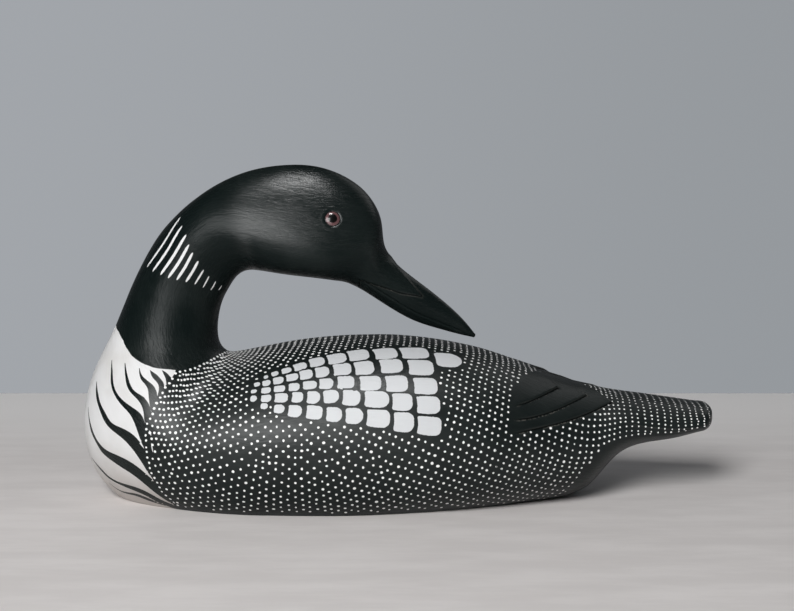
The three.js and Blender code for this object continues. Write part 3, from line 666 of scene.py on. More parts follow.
def dot_places(side, random):
    """Dots of one side: a column that follows the front limit, then the crossings of the two families
    behind it, then crossings half a cell on where a hole is left. Each is moved a little by the brush and
    left out where an earlier dot is too near."""
    down = np.linspace(1.5, 150, 298)
    limit = np.minimum(np.interp(down, NECK_LINE[:, 0], NECK_LINE[:, 1]),
                       np.interp(down, BREAST_LINE[:, 0], BREAST_LINE[:, 1], left=400)) - 1.6
    edge = on_bird(limit, down, side)
    run = np.concatenate([[0], np.cumsum(np.linalg.norm(np.diff(edge, axis=0), axis=1))])
    at = np.interp(np.arange(1, run[-1], 3.3), run, down)
    turn = 0.0 if side < 0 else 0.5
    inner, between = crossings(turn, 0.0), crossings(turn + 0.5, 0.5)
    dots = np.concatenate([np.stack([np.interp(at, down, limit), at], axis=1), inner, between])
    order = np.repeat([0, 1, 2], [len(at), len(inner), len(between)])
    behind = (order == 0) | (dots[:, 0] < np.interp(dots[:, 1], down, limit) - 1.6)
    loose = 0.2 + 0.8 * smooth((dots[:, 1:] - 8) / 22)
    dots = dots + random.normal(0, [0.25, 0.3], dots.shape) * loose
    along, down = dots[:, 0], np.clip(dots[:, 1], 0.5, 179)
    keep, point = dotted(along, down, side)
    keep &= behind
    near = np.interp(down, [15, 40, 70, 150], [1.4, 1.9, 2.3, 2.2])
    near = np.where(order == 2, np.interp(along, [55, 90, 290, 310], [3.6, 3.3, 3.3, 2.7]), near)
    near = np.where((order == 2) & (down < 20), 9, near)
    gap = np.linalg.norm(point[:, None, :] - point[None], axis=-1)
    for step in (0, 1, 2):
        earlier = keep & (order < step)
        close = ((gap < near[:, None]) & earlier[None, :]).any(axis=1)
        keep &= ~((order == step) & close)
    return along[keep], down[keep]


def dot_layout():
    """All dots of both sides: their middles and the two axes that turn a distance into dot radii. Near
    the neck the brush strokes are longer."""
    random = np.random.default_rng(DOT_SEED)
    middles, rights, ups = [], [], []
    for side in (-1, 1):
        along, down = dot_places(side, random)
        point, normal, per_degree = skin_frame(along, down, side)
        lean = np.radians(np.clip(1.4 * (along - 312), -15, 50)) * smooth((along - 280) / 20)
        back = on_bird(along - 0.5 * np.cos(lean), down - 0.5 * np.sin(lean) / per_degree, side) - point
        right = back / np.linalg.norm(back, axis=1, keepdims=True)
        up = np.cross(normal, right)
        radius = DOT_RADIUS * random.normal(1, 0.09, len(along)).clip(0.75, 1.3)
        radius *= 1.04 - 0.28 * smooth((80 - along) / 35)
        radius *= 1 + 0.08 * smooth((down - 60) / 30) * smooth((along - 130) / 60)
        radius *= 1 + 0.15 * smooth((45 - down) / 25) * smooth((along - 200) / 40)
        longer = 1 + 0.6 * np.exp(-((along - 320) / 26) ** 2 - ((down - 40) / 24) ** 2)
        longer *= random.normal(1, 0.08, len(along)).clip(0.8, 1.25)
        middles.append(point)
        rights.append(right / (radius * longer)[:, None])
        ups.append(up / (radius / np.sqrt(longer))[:, None])
    return np.concatenate(middles), np.concatenate(rights), np.concatenate(ups)


def nearest_of(points, targets, block=1500):
    """Index of the nearest target of each point, block by block."""
    found = np.zeros(len(points), int)
    square = (targets ** 2).sum(1)
    for start in range(0, len(points), block):
        part = points[start:start + block]
        found[start:start + block] = np.argmin(square[None] - 2 * part @ targets.T, axis=1)
    return found


def corner_data(mesh):
    """Per face corner its vertex and face, per face its middle and side, per vertex its place."""
    count = len(mesh.vertices)
    place = np.empty(count * 3)
    mesh.vertices.foreach_get("co", place)
    place = place.reshape(-1, 3) / MM
    vertex = np.empty(len(mesh.loops), int)
    mesh.loops.foreach_get("vertex_index", vertex)
    total = np.empty(len(mesh.polygons), int)
    mesh.polygons.foreach_get("loop_total", total)
    face = np.repeat(np.arange(len(total)), total)
    middle = np.stack([np.bincount(face, place[vertex][:, k]) for k in range(3)], axis=1) / total[:, None]
    return place, vertex, face, middle


def read_layer(mesh, name):
    values = np.empty(len(mesh.vertices), np.float32)
    mesh.attributes[name].data.foreach_get("value", values)
    return values.astype(float)


def dot_values(middle, at, owner):
    """Distance of points from the dot nearest to their face, along the dot's two axes, in dot radii."""
    centres, rights, ups = dot_layout()
    nearest = nearest_of(middle, centres)[owner]
    away = at - centres[nearest]
    return np.stack([(away * rights[nearest]).sum(1), (away * ups[nearest]).sum(1), np.zeros(len(at))], axis=1)


def window_values(middle, at, owner, side):
    """Distance rearwards and downwards of points from the window nearest to their face, with the window's
    number, and the window's half length, half height and roundness."""
    centres, rears, lowers = window_frames(side)

    def local(points, which):
        away = points - centres[which]
        return (away * rears[which]).sum(-1), (away * lowers[which]).sum(-1)

    every = np.arange(len(WINDOWS))
    across, updown = local(middle[:, None, :], every)
    over = np.maximum(np.abs(across) - WINDOWS[:, 2] / 2, np.abs(updown) - WINDOWS[:, 3] / 2)
    nearest = np.argmin(over, axis=1)[owner]
    across, updown = local(at, nearest)
    sizes = WINDOWS[nearest]
    return (np.stack([across, updown, nearest], axis=1),
            np.stack([sizes[:, 2] / 2, sizes[:, 3] / 2, sizes[:, 5]], axis=1))


def stroke_values(middle, at, owner, side):
    """For the brush stroke nearest to each face: place along it in half lengths, place across it in half
    widths, and how blunt its ends are."""
    best = np.full(len(middle), 1e9)
    values = np.full((len(at), 3), 9.0)
    listed = [(line, width, 6 if width > 0.6 else 2.6) for line, width in zip(NECKLACE, NECKLACE_HALF_WIDTHS)]
    listed += [(line, 0.34, 2.4) for line in SLIVERS]
    for line, width, blunt in listed:
        curve = curve_on(line, side)
        half = curve[3][-1] / 2
        across, run = offset_from(curve, middle, side)
        gap = np.hypot(across, np.maximum(np.abs(run - half) - half, 0))
        closer = gap < best
        best = np.minimum(best, gap)
        mine = closer[owner]
        across, run = offset_from(curve, at[mine], side)
        values[mine] = np.stack([(run - half) / (half + 0.3), across / width, np.full(mine.sum(), blunt)], axis=1)
    return values


def stripe_values(middle, at, owner, side):
    """For the black stripe that holds each face best: depth below its upper edge, height above its lower
    edge and the shorter way to its two ends, so that black is where all three are positive. The rear end
    is where both edges have ended."""
    def inside(edges, points):
        above, run = offset_from(edges[0], points, side)
        below, low_run = offset_from(edges[1], points, side)
        left = np.maximum(edges[0][3][-1] + 6 - run, edges[1][3][-1] + 0.6 - low_run)
        return np.stack([-above, below, np.minimum(run + 0.5, left)], axis=1)

    best = np.full(len(middle), -1e9)
    values = np.full((len(at), 3), -9.0)
    for upper, lower in STRIPES:
        edges = [curve_on(upper, side), curve_on(lower, side)]
        score = inside(edges, middle).min(axis=1)
        closer = score > best
        best = np.maximum(best, score)
        mine = closer[owner]
        values[mine] = inside(edges, at[mine])
    return values


def breast_values(along, down):
    """Millimetres below the neck's edge and in front of the dotted field, by place."""
    neck = np.interp(down, NECK_LINE[:, 0], NECK_LINE[:, 1]) - along
    front = along - np.interp(down, BREAST_LINE[:, 0], BREAST_LINE[:, 1], left=400)
    return np.stack([neck, front, neck * 0], axis=1)


def paint_layers(mesh):
    """Writes what the paint needs. Dots, windows, strokes and stripes are held by face corner, measured
    from the nearest one to the face, so that their edges are exact inside each face."""
    place, vertex, face, middle = corner_data(mesh)
    along, down = read_layer(mesh, "along"), read_layer(mesh, "down")
    side = np.where(middle[:, 1] < 0, -1, 1)
    face_along = np.bincount(face, along[vertex]) / np.bincount(face)
    face_down = np.bincount(face, down[vertex]) / np.bincount(face)
    at = place[vertex]

    def fill(values, chosen, work, s):
        """Runs work for the chosen faces of one side and stores the result at their corners."""
        faces = np.where(chosen & (side == s))[0]
        number = np.full(len(middle), -1)
        number[faces] = np.arange(len(faces))
        corners = np.where(number[face] >= 0)[0]
        results = work(middle[faces], at[corners], number[face[corners]], s)
        for store, result in zip(values, results if isinstance(results, tuple) else (results,)):
            store[corners] = result

    dots, strokes = np.full((len(at), 3), 9.0), np.full((len(at), 3), 9.0)
    stripes = np.full((len(at), 3), -9.0)
    windows, sizes = np.full((len(at), 3), 99.0), np.ones((len(at), 3))
    for s in (-1, 1):
        fill([dots], (face_along < 366) & (face_down < 158), lambda *v: dot_values(*v[:3]), s)
        fill([windows, sizes], (np.abs(face_along - 214) < 68) & (face_down < 86), window_values, s)
        fill([strokes], ((face_along > 414) & (face_along < 448)) |
             ((np.abs(face_along - 329) < 12) & (np.abs(face_down - 97) < 14)), stroke_values, s)
        fill([stripes], (face_along > 262) & (face_along < 396) & (face_down > 50), stripe_values, s)
    for name, values in (("dots", dots), ("strokes", strokes), ("stripes", stripes), ("windows", windows),
                         ("window_sizes", sizes)):
        give(mesh, name, "FLOAT_VECTOR", "CORNER", values)
    give(mesh, "breast", "FLOAT_VECTOR", "POINT", breast_values(along, down))


# Finishes
def sheet_of_nodes(name):
    """A new material, and two helpers: node(kind, settings, inputs) and math(operation, values)."""
    material = bpy.data.materials.new(name)
    material.use_nodes = True
    tree = material.node_tree
    tree.nodes.clear()

    def put(socket, value):
        if isinstance(value, bpy.types.NodeSocket):
            tree.links.new(value, socket)
        elif value is not None:
            socket.default_value = value

    def node(kind, inputs=(), **settings):
        made = tree.nodes.new("ShaderNode" + kind)
        for key, value in settings.items():
            setattr(made, key, value)
        for key, value in dict(inputs).items():
            put(made.inputs[key], value)
        return made

    def math(operation, *values, clamp=False):
        made = tree.nodes.new("ShaderNodeMath")
        made.operation = operation
        made.use_clamp = clamp
        for socket, value in zip(made.inputs, values):
            put(socket, value)
        return made.outputs[0]

    return material, node, math


def ramp(node, value, low, high, out_low=0.0, out_high=1.0):
    """Smooth change from out_low to out_high while the value goes from low to high."""
    made = node("MapRange", {"Value": value, "From Min": low, "From Max": high, "To Min": out_low,
                             "To Max": out_high}, interpolation_type="SMOOTHSTEP")
    return made.outputs["Result"]


def blend_colour(node, share, first, second):
    made = node("Mix", data_type="RGBA")
    made.inputs["Factor"].default_value = 0
    tree = made.id_data
    for index, value in ((0, share), (6, first), (7, second)):
        if isinstance(value, bpy.types.NodeSocket):
            tree.links.new(value, made.inputs[index])
        else:
            made.inputs[index].default_value = value
    return made.outputs[2]


BLACK_PAINT = (0.0050, 0.0084, 0.0082, 1)
BLACK_PAINT_THIN = (0.0095, 0.0135, 0.0130, 1)
WHITE_PAINT = (0.735, 0.738, 0.74, 1)
WHITE_PAINT_AGED = (0.64, 0.63, 0.615, 1)
# Painted shade and painted warm bounce light from the table: a darker, warmer white for the lowest part of the
# breast.
WHITE_PAINT_NEAR_TABLE_SHADE = (0.50, 0.465, 0.44, 1)
WINDOW_PAINT = (0.63, 0.645, 0.66, 1)
DOT_PAINT = (0.90, 0.90, 0.89, 1)
# Light brown: paint wear on the feathers and the bill, and painted highlights along the feather edges, the bill's
# edge and the tail's arris.
RUBBED_AND_HIGHLIGHT_PAINT = (0.20, 0.19, 0.17, 1)


def white_share(node, math):
    """1 where the paint is white: dots, windows, necklace strokes, and the breast between its stripes, and
    then the dots and the windows each alone."""
    place = node("TexCoord").outputs["Object"]
    wobble = node("TexNoise", {"Vector": place, "Scale": 700.0, "Detail": 2.0}).outputs["Fac"]
    wobble = math("SUBTRACT", wobble, 0.5)

    dot = node("Attribute", attribute_name="dots").outputs["Vector"]
    reach = node("VectorMath", {0: dot}, operation="LENGTH").outputs["Value"]
    dots = ramp(node, math("ADD", reach, math("MULTIPLY", wobble, 0.5)), 1.1, 0.9)

    stroke = node("SeparateXYZ", {0: node("Attribute", attribute_name="strokes").outputs["Vector"]}).outputs
    run = math("POWER", math("ABSOLUTE", stroke["X"]), stroke["Z"])
    across = math("POWER", math("ABSOLUTE", stroke["Y"]), 2.0)
    form = math("ADD", math("ADD", run, across), math("MULTIPLY", wobble, 0.5))
    strokes = ramp(node, form, 1.15, 0.85)

    field = node("SeparateXYZ", {0: node("Attribute", attribute_name="breast").outputs["Vector"]}).outputs
    inside = math("MINIMUM", field["X"], field["Y"])
    stripe = node("SeparateXYZ", {0: node("Attribute", attribute_name="stripes").outputs["Vector"]}).outputs
    black = math("MINIMUM", math("MINIMUM", stripe["X"], stripe["Y"]), stripe["Z"])
    black = math("ADD", black, math("MULTIPLY", wobble, 0.25))
    inside = math("ADD", inside, math("MULTIPLY", wobble, 0.25))
    breast = math("MULTIPLY", ramp(node, inside, -0.12, 0.12), ramp(node, black, -0.16, -0.36))

    windows = window_share(node, math, wobble)
    white = math("MAXIMUM", math("MAXIMUM", strokes, breast), math("MAXIMUM", dots, windows))
    return white, dots, windows


def window_share(node, math, wobble):
    """1 inside a window: a box with rounded corners, rounder at the rear. Parabolas of the height make its
    rear end bulge and its front end hollow, and parabolas of the length round its long edges a little."""
    cell = node("SeparateXYZ", {0: node("Attribute", attribute_name="windows").outputs["Vector"]}).outputs
    size = node("SeparateXYZ", {0: node("Attribute", attribute_name="window_sizes").outputs["Vector"]}).outputs
    rear = math("GREATER_THAN", cell["X"], 0.0)
    rise = math("DIVIDE", cell["Y"], size["Y"])
    rise = math("MULTIPLY", rise, rise)
    bulge = math("MULTIPLY", math("MULTIPLY", rear, 0.14), rise)
    hollow = math("MULTIPLY", math("SUBTRACT", 1.0, rear), math("MULTIPLY", 0.15, math("SUBTRACT", 1.0, rise)))
    a = math("ADD", cell["X"], math("MULTIPLY", size["Y"], math("SUBTRACT", bulge, hollow)))
    out = math("DIVIDE", cell["X"], size["X"])
    low = math("ADD", 0.04, math("MULTIPLY", math("GREATER_THAN", cell["Y"], 0.0), 0.1))
    lean = math("MULTIPLY", math("MULTIPLY", low, size["Y"]), math("MULTIPLY", out, out))
    smaller = math("MINIMUM", size["X"], size["Y"])
    front = ramp(node, smaller, 1.5, 3.5, 0.95, 0.45)
    share = math("ADD", math("MULTIPLY", rear, 0.88), math("MULTIPLY", math("SUBTRACT", 1.0, rear), front))
    corner = math("MULTIPLY", smaller, math("MULTIPLY", size["Z"], share))
    over_a = math("ADD", math("SUBTRACT", math("ABSOLUTE", a), size["X"]), corner)
    b = math("ADD", math("ABSOLUTE", cell["Y"]), lean)
    over_b = math("ADD", math("SUBTRACT", b, size["Y"]), corner)
    out_a = math("MAXIMUM", over_a, 0.0)
    out_b = math("MAXIMUM", over_b, 0.0)
    outside = math("SQRT", math("ADD", math("MULTIPLY", out_a, out_a), math("MULTIPLY", out_b, out_b)))
    deep = math("MINIMUM", math("MAXIMUM", over_a, over_b), 0.0)
    distance = math("SUBTRACT", math("ADD", outside, deep), corner)
    distance = math("ADD", distance, math("MULTIPLY", wobble, 0.6))
    return ramp(node, distance, 0.1, -0.1)


def feather_line(node, math):
    """Distance outwards from the nearest outline of a feather that no feather above it covers."""
    depth = node("SeparateXYZ", {0: node("Attribute", attribute_name="feathers").outputs["Vector"]}).outputs
    under_second = math("MULTIPLY", math("GREATER_THAN", depth["Y"], 0.0), 50.0)
    under_third = math("MULTIPLY", math("GREATER_THAN", depth["Z"], 0.0), 50.0)
    first = math("SUBTRACT", math("ADD", under_second, under_third), depth["X"])
    second = math("SUBTRACT", under_third, depth["Y"])
    nearest = math("MULTIPLY", depth["Z"], -1.0)
    for other in (second, first):
        closer = math("LESS_THAN", math("ABSOLUTE", other), math("ABSOLUTE", nearest))
        change = math("MULTIPLY", closer, math("SUBTRACT", other, nearest))
        nearest = math("ADD", nearest, change)
    return nearest


def bell(math, value, middle, width):
    """exp(-((value - middle)/width)^2)."""
    off = math("DIVIDE", math("SUBTRACT", value, middle), width)
    return math("EXPONENT", math("MULTIPLY", math("MULTIPLY", off, off), -1.0))


def painted_wood():
    """Satin black paint brushed over carved wood, with the white pattern on it and wear on the feathers, and painted
    light: highlights on edges, shade in the cuts, shaded white near the table.
    """
    material, node, math = sheet_of_nodes("painted_wood")
    place = node("TexCoord").outputs["Object"]
    brush = node("Attribute", attribute_name="brush").outputs["Vector"]
    streak_at = node("Mapping", {"Vector": brush, "Scale": (0.12, 0.55, 1.0)}).outputs[0]
    streak = node("TexNoise", {"Vector": streak_at, "Scale": 1.0, "Detail": 3.0, "Roughness": 0.6,
                               "Distortion": 0.6}).outputs["Fac"]
    hair_at = node("Mapping", {"Vector": brush, "Scale": (0.30, 1.7, 1.0), "Rotation": (0.0, 0.0, 0.1)})
    hair = node("TexNoise", {"Vector": hair_at.outputs[0], "Scale": 1.0, "Detail": 3.0, "Roughness": 0.6,
                             "Distortion": 0.8}).outputs["Fac"]
    cloud = node("TexNoise", {"Vector": place, "Scale": 38.0, "Detail": 3.0}).outputs["Fac"]
    fine = node("TexNoise", {"Vector": place, "Scale": 900.0, "Detail": 3.0}).outputs["Fac"]
    white, dots, windows = white_share(node, math)
    black_paint = blend_colour(node, ramp(node, cloud, 0.4, 0.7), BLACK_PAINT, BLACK_PAINT_THIN)
    white_paint = blend_colour(node, ramp(node, cloud, 0.4, 0.75), WHITE_PAINT, WHITE_PAINT_AGED)
    height = node("SeparateXYZ", {0: place}).outputs["Z"]
    # Painted shade near the table: the white turns darker and warmer over the lowest 45 mm.
    white_paint = blend_colour(node, ramp(node, height, 0.045, 0.0), white_paint, WHITE_PAINT_NEAR_TABLE_SHADE)
    white_paint = blend_colour(node, windows, white_paint, WINDOW_PAINT)
    white_paint = blend_colour(node, dots, white_paint, DOT_PAINT)
    colour = blend_colour(node, white, black_paint, white_paint)
    line = feather_line(node, math)
    share = node("Attribute", attribute_name="feather_share").outputs["Fac"]
    flecks = math("MULTIPLY", bell(math, line, 1.0, 0.45), ramp(node, fine, 0.46, 0.58))
    flecks = math("MULTIPLY", flecks, ramp(node, cloud, 0.44, 0.58))
    # flecks are paint wear along the feathers' edges; ridge is a painted highlight along each feather's edge.
    ridge = math("MULTIPLY", bell(math, line, -0.4, 0.5), ramp(node, cloud, 0.6, 0.4, 0.03, 0.16))
    rubbed_and_ridge_highlight = math("MULTIPLY", math("MAXIMUM", flecks, ridge), share)
    colour = blend_colour(node, math("MULTIPLY", rubbed_and_ridge_highlight, 0.6), colour, RUBBED_AND_HIGHLIGHT_PAINT)
    rough = ramp(node, math("MULTIPLY", math("ADD", streak, hair), 0.5), 0.35, 0.65, 0.21, 0.31)
    along = node("Attribute", attribute_name="along").outputs["Fac"]
    on_body = ramp(node, along, 345.0, 300.0)
    rough = math("ADD", rough, math("MULTIPLY", on_body, 0.12))
    rough = math("ADD", rough, math("MULTIPLY", white, 0.12))
    cut = math("MULTIPLY", bell(math, line, 0.35, 0.55), share)
    edge = node("SeparateXYZ", {0: node("Attribute", attribute_name="edges").outputs["Vector"]}).outputs
    # face_line is painted shade along the edge of the face's feathers on the bill. rim and arris are painted
    # highlights: a light band on the bill past that edge and a light line on the tail's arris. specks are paint wear
    # along the face's edge.
    face_line = math("MULTIPLY", bell(math, edge["X"], 0.1, 0.32), edge["Y"])
    rim = math("MULTIPLY", bell(math, edge["X"], 0.8, 0.35), edge["Y"])
    specks = math("MULTIPLY", bell(math, edge["X"], 0.3, 0.4), ramp(node, fine, 0.52, 0.6))
    specks = math("MULTIPLY", math("MULTIPLY", specks, edge["Y"]), ramp(node, cloud, 0.5, 0.62))
    arris = math("MULTIPLY", bell(math, edge["Z"], 0.0, 0.3), ramp(node, along, 52.0, 44.0))
    arris = math("MULTIPLY", arris, ramp(node, along, 2.0, 8.0))
    wear_and_edge_highlight = math("ADD", math("MULTIPLY", math("ADD", rim, arris), 0.08), math("MULTIPLY", specks, 0.4))
    colour = blend_colour(node, wear_and_edge_highlight, colour, RUBBED_AND_HIGHLIGHT_PAINT)
    # Painted shade in the feathers' cuts and along the face's edge: it dims the shine here and darkens the colour
    # below.
    groove = math("MAXIMUM", cut, face_line)
    dull = math("MULTIPLY", ramp(node, along, 362.0, 392.0), ramp(node, along, 474.0, 459.0))
    down = node("Attribute", attribute_name="down").outputs["Fac"]
    throat = math("MULTIPLY", ramp(node, along, 468.0, 476.0), ramp(node, down, 106.0, 95.0))
    dull = math("MAXIMUM", math("MULTIPLY", dull, 0.66), math("MULTIPLY", throat, 0.7))
    dull = math("MAXIMUM", dull, ramp(node, height, 0.036, 0.008, 0.0, 0.45))
    shine = math("MULTIPLY", math("SUBTRACT", 1.0, math("MULTIPLY", groove, 0.9)), math("SUBTRACT", 1.0, dull))
    shine = math("MULTIPLY", shine, math("ADD", 0.25, math("MULTIPLY", on_body, 0.07)))
    # Painted shade: the colour goes almost black in the cuts and along the face's edge.
    colour = blend_colour(node, math("MULTIPLY", groove, 0.8), colour, (0.001, 0.0013, 0.0013, 1))
    relief = math("ADD", math("ADD", math("MULTIPLY", streak, 1.0), math("MULTIPLY", hair, 0.4)),
                  math("MULTIPLY", fine, 0.12))
    relief = math("SUBTRACT", relief, math("MULTIPLY", cut, 1.2))
    bump = node("Bump", {"Height": relief, "Strength": 0.42, "Distance": 0.0004}).outputs[0]
    shader = node("BsdfPrincipled", {"Base Color": colour, "Roughness": rough, "Normal": bump,
                                     "Specular IOR Level": shine})
    out = node("OutputMaterial")
    material.node_tree.links.new(shader.outputs[0], out.inputs["Surface"])
    return material


def underside_paint():
    """Plain black paint on the flat underside, thin where the bird has stood."""
    material, node, math = sheet_of_nodes("painted_underside")
    place = node("TexCoord").outputs["Object"]
    cloud = node("TexNoise", {"Vector": place, "Scale": 60.0, "Detail": 5.0}).outputs["Fac"]
    colour = blend_colour(node, ramp(node, cloud, 0.45, 0.7), BLACK_PAINT, (0.05, 0.042, 0.033, 1))
    rough = ramp(node, cloud, 0.3, 0.7, 0.5, 0.65)
    shader = node("BsdfPrincipled", {"Base Color": colour, "Roughness": rough})
    out = node("OutputMaterial")
    material.node_tree.links.new(shader.outputs[0], out.inputs["Surface"])
    return material


def eye_glass():
    """Red-brown glass eye: black pupil, iris with fine rays and a dark rim, under a clear polished coat."""
    material, node, math = sheet_of_nodes("eye_glass")
    spot = node("SeparateXYZ", {0: node("Attribute", attribute_name="iris").outputs["Vector"]}).outputs
    radius = math("SQRT", math("ADD", math("MULTIPLY", spot["X"], spot["X"]), math("MULTIPLY", spot["Y"], spot["Y"])))
    ray_at = node("CombineXYZ", {"X": math("ARCTAN2", spot["Y"], spot["X"]), "Y": math("MULTIPLY", radius, 0.6)})
    rays = node("TexNoise", {"Vector": ray_at.outputs[0], "Scale": 9.0, "Detail": 3.0}).outputs["Fac"]
    iris = blend_colour(node, ramp(node, rays, 0.35, 0.7), (0.10, 0.049, 0.051, 1), (0.16, 0.083, 0.086, 1))
    iris = blend_colour(node, ramp(node, radius, 0.84, 0.93), iris, (0.004, 0.004, 0.004, 1))
    colour = blend_colour(node, ramp(node, radius, 0.60, 0.54), iris, (0.003, 0.003, 0.003, 1))
    shader = node("BsdfPrincipled", {"Base Color": colour, "Roughness": 0.28, "Specular IOR Level": 0.15,
                                     "Coat Weight": 0.5, "Coat Roughness": 0.05, "Coat IOR": 1.5})
    out = node("OutputMaterial")
    material.node_tree.links.new(shader.outputs[0], out.inputs["Surface"])
    return material


# Pieces
def glass_eye(name, side, material):
    """A plug with a domed face, a profile turned about the way that the eye looks: radius r, height h."""
    middle, look = eye_seat(side)
    first = np.cross(look, [0, 0, 1])
    first /= np.linalg.norm(first)
    second = np.cross(first, look)
    rise = EYE_PROUD + EYE_RIM_SUNK
    ball = (EYE_RADIUS ** 2 + rise ** 2) / (2 * rise)
    tilt = np.linspace(np.arcsin(EYE_RADIUS / ball), 0, 22)[:-1]
    radius = np.concatenate([[EYE_RADIUS * 0.9, EYE_RADIUS, EYE_RADIUS], ball * np.sin(tilt)])
    height = np.concatenate([[-3.9, -3.6, -EYE_RIM_SUNK - 0.15], EYE_PROUD - ball * (1 - np.cos(tilt))])
    turn = np.linspace(0, 2 * np.pi, 65)[:-1]
    flat = radius[:, None, None] * (np.cos(turn)[None, :, None] * first + np.sin(turn)[None, :, None] * second)
    rings = middle + flat + height[:, None, None] * look
    count, steps = rings.shape[:2]
    points = np.concatenate([rings.reshape(-1, 3), [middle - 3.9 * look], [middle + EYE_PROUD * look]])
    number = np.arange(count * steps).reshape(count, steps)
    beside = np.roll(number, -1, axis=1)
    quads = np.stack([number[:-1], beside[:-1], beside[1:], number[1:]], axis=-1).reshape(-1, 4)
    low = np.stack([np.full(steps, count * steps), beside[0], number[0]], axis=-1)
    top = np.stack([number[-1], beside[-1], np.full(steps, count * steps + 1)], axis=-1)
    faces = quads.tolist() + low.tolist() + top.tolist()
    mesh = new_mesh(name, points, faces)
    turned = np.concatenate([np.stack([np.outer(radius, np.cos(turn)).ravel(), np.outer(radius, np.sin(turn)).ravel(),
                                       np.zeros(count * steps)], axis=1) / EYE_RADIUS, np.zeros((2, 3))])
    give(mesh, "iris", "FLOAT_VECTOR", "POINT", turned)
    mesh.polygons.foreach_set("use_smooth", np.ones(len(mesh.polygons), bool))
    shape = bmesh.new()
    shape.from_mesh(mesh)
    bmesh.ops.recalc_face_normals(shape, faces=shape.faces)
    shape.to_mesh(mesh)
    shape.free()
    mesh.materials.append(material)
    return piece(name, mesh)


body = body_mesh()
paint_layers(body)
body.materials.append(painted_wood())
body.materials.append(underside_paint())
loon = piece("painted_loon", body)
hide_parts("loon_body")

glass = eye_glass()
for eye_name, node_name, eye_side in (("glass_eye_right", "eye_right", -1), ("glass_eye_left", "eye_left", 1)):
    eye = glass_eye(eye_name, eye_side, glass)
    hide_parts(node_name)

# Table, air, light and camera
TABLE_BACK = 0.297  # the table ends behind the bird


def table_top():
    """A pale table: a slab whose top lies just under the bird, with a finely blotched lime wash, and painted light
    that makes it lighter towards the back.
    """
    x0, x1, y0, y1, top, thick = -1.6, 1.6, -1.3, TABLE_BACK, -0.0001, 0.03
    corners = [(x, y, z) for z in (top - thick, top) for x, y in ((x0, y0), (x1, y0), (x1, y1), (x0, y1))]
    faces = [(3, 2, 1, 0), (4, 5, 6, 7), (0, 1, 5, 4), (1, 2, 6, 5), (2, 3, 7, 6), (3, 0, 4, 7)]
    mesh = bpy.data.meshes.new("table")
    mesh.from_pydata(corners, [], faces)
    table = bpy.data.objects.new("table", mesh)
    bpy.context.scene.collection.objects.link(table)
    bevel = table.modifiers.new("edge", "BEVEL")
    bevel.width = 0.002
    bevel.segments = 2
    material, node, math = sheet_of_nodes("limewash_and_painted_light")
    place = node("TexCoord").outputs["Object"]
    long = node("Mapping", {"Vector": place, "Scale": (4.0, 16.0, 10.0)}).outputs[0]
    blotch = node("TexNoise", {"Vector": long, "Scale": 3.0, "Detail": 6.0, "Roughness": 0.6}).outputs["Fac"]
    colour = blend_colour(node, ramp(node, blotch, 0.35, 0.7), (0.735, 0.70, 0.685, 1), (0.81, 0.775, 0.76, 1))
    # Painted light: the table is painted lighter towards the back, where the lamps light it less.
    away = node("SeparateXYZ", {0: place}).outputs["Y"]
    colour = blend_colour(node, ramp(node, away, 0.05, 0.28), colour, (0.95, 0.93, 0.92, 1))
    shader = node("BsdfPrincipled", {"Base Color": colour, "Roughness": 0.7})
    out = node("OutputMaterial")
    material.node_tree.links.new(shader.outputs[0], out.inputs["Surface"])
    mesh.materials.append(material)


WALL_LEFT = (0.362, 0.380, 0.405, 1)
WALL_RIGHT = (0.300, 0.318, 0.338, 1)
ROOM = (0.075, 0.077, 0.080, 1)
WALL_SHINE = 0.3  # how much of the wall shows in the paint's shine


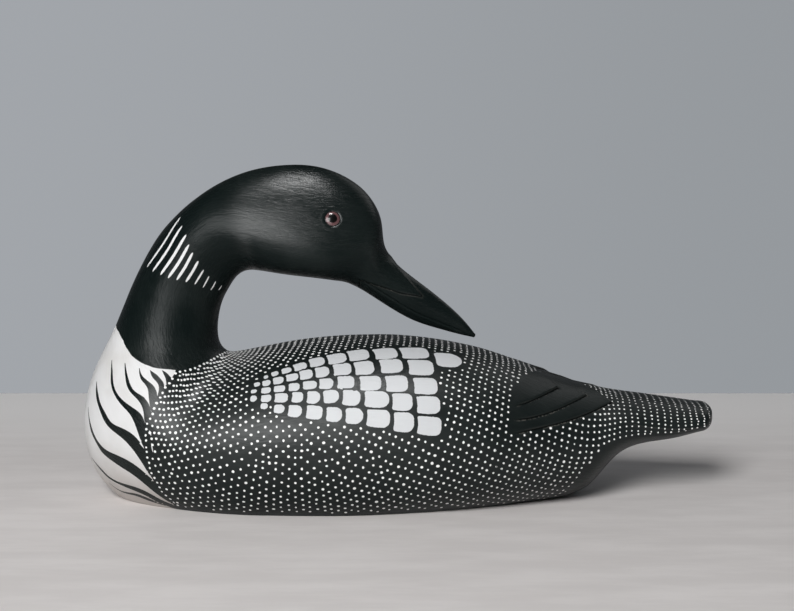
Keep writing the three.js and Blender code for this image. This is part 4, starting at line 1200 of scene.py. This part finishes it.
def wall_air():
    """The plain grey wall behind the bird is the world: a soft grey, a little lighter to the left and
    darker into the room in front."""
    world = bpy.data.worlds.new("wall")
    bpy.context.scene.world = world
    world.use_nodes = True
    tree = world.node_tree
    back = tree.nodes["Background"]
    way = tree.nodes.new("ShaderNodeTexCoord")
    parts = tree.nodes.new("ShaderNodeSeparateXYZ")
    tree.links.new(way.outputs["Generated"], parts.inputs[0])

    def between(socket, low, high, first, second):
        share = tree.nodes.new("ShaderNodeMapRange")
        share.interpolation_type = "SMOOTHSTEP"
        share.inputs["From Min"].default_value = low
        share.inputs["From Max"].default_value = high
        tree.links.new(socket, share.inputs["Value"])
        mix = tree.nodes.new("ShaderNodeMix")
        mix.data_type = "RGBA"
        tree.links.new(share.outputs[0], mix.inputs[0])
        for socket, value in ((mix.inputs[6], first), (mix.inputs[7], second)):
            if isinstance(value, bpy.types.NodeSocket):
                tree.links.new(value, socket)
            else:
                socket.default_value = value
        return mix.outputs[2]

    wall = between(parts.outputs["X"], -0.3, 0.3, WALL_LEFT, WALL_RIGHT)
    wall = between(parts.outputs["Z"], 0.2, 0.75, wall, ROOM)
    tree.links.new(between(parts.outputs["Y"], 0.1, 0.75, ROOM, wall), back.inputs["Color"])
    path = tree.nodes.new("ShaderNodeLightPath")
    strength = tree.nodes.new("ShaderNodeMapRange")
    strength.inputs["To Min"].default_value = 1.0
    strength.inputs["To Max"].default_value = WALL_SHINE
    tree.links.new(path.outputs["Is Glossy Ray"], strength.inputs["Value"])
    tree.links.new(strength.outputs[0], back.inputs["Strength"])


def soft_light(name, place, target, size, power, diffuse=True, gloss=True):
    data = bpy.data.lights.new(name, "AREA")
    data.shape = "RECTANGLE"
    data.size, data.size_y = size
    data.energy = power
    light = bpy.data.objects.new(name, data)
    light.location = place
    light.visible_diffuse = diffuse
    light.visible_glossy = gloss
    light.rotation_euler = (Vector(target) - Vector(place)).to_track_quat("-Z", "Y").to_euler()
    bpy.context.scene.collection.objects.link(light)


table_top()
wall_air()
soft_light("window", (-0.47, -1.52, 1.12), (0, 0, 0.06), (0.6, 0.8), 34, gloss=False)
soft_light("window's shine", (-0.62, -1.53, 0.85), (-0.07, 0, 0.1), (0.95, 0.95), 28, diffuse=False)
soft_light("skylight's shine", (-0.02, -0.49, 1.50), (-0.03, 0, 0.15), (0.45, 0.25), 12, diffuse=False)
soft_light("ceiling's shine", (0.95, 0.75, 1.2), (0.1, 0, 0.06), (1.0, 1.0), 2.4, diffuse=False)
soft_light("low window's shine", (-0.14, -1.6, 0.17), (0, 0, 0.05), (0.74, 0.24), 2.8, diffuse=False)

camera_data = bpy.data.cameras.new("camera")
camera_data.sensor_width = 36
camera_data.lens = FOCAL_PIXELS * 36 / PICTURE_WIDTH
camera = bpy.data.objects.new("camera", camera_data)
camera.location = (-0.000755, -0.90494, 0.25013)
camera.rotation_euler = (np.radians(90 - 8.527), 0, 0)
bpy.context.scene.collection.objects.link(camera)
bpy.context.scene.camera = camera
bpy.context.scene.view_settings.view_transform = "Standard"
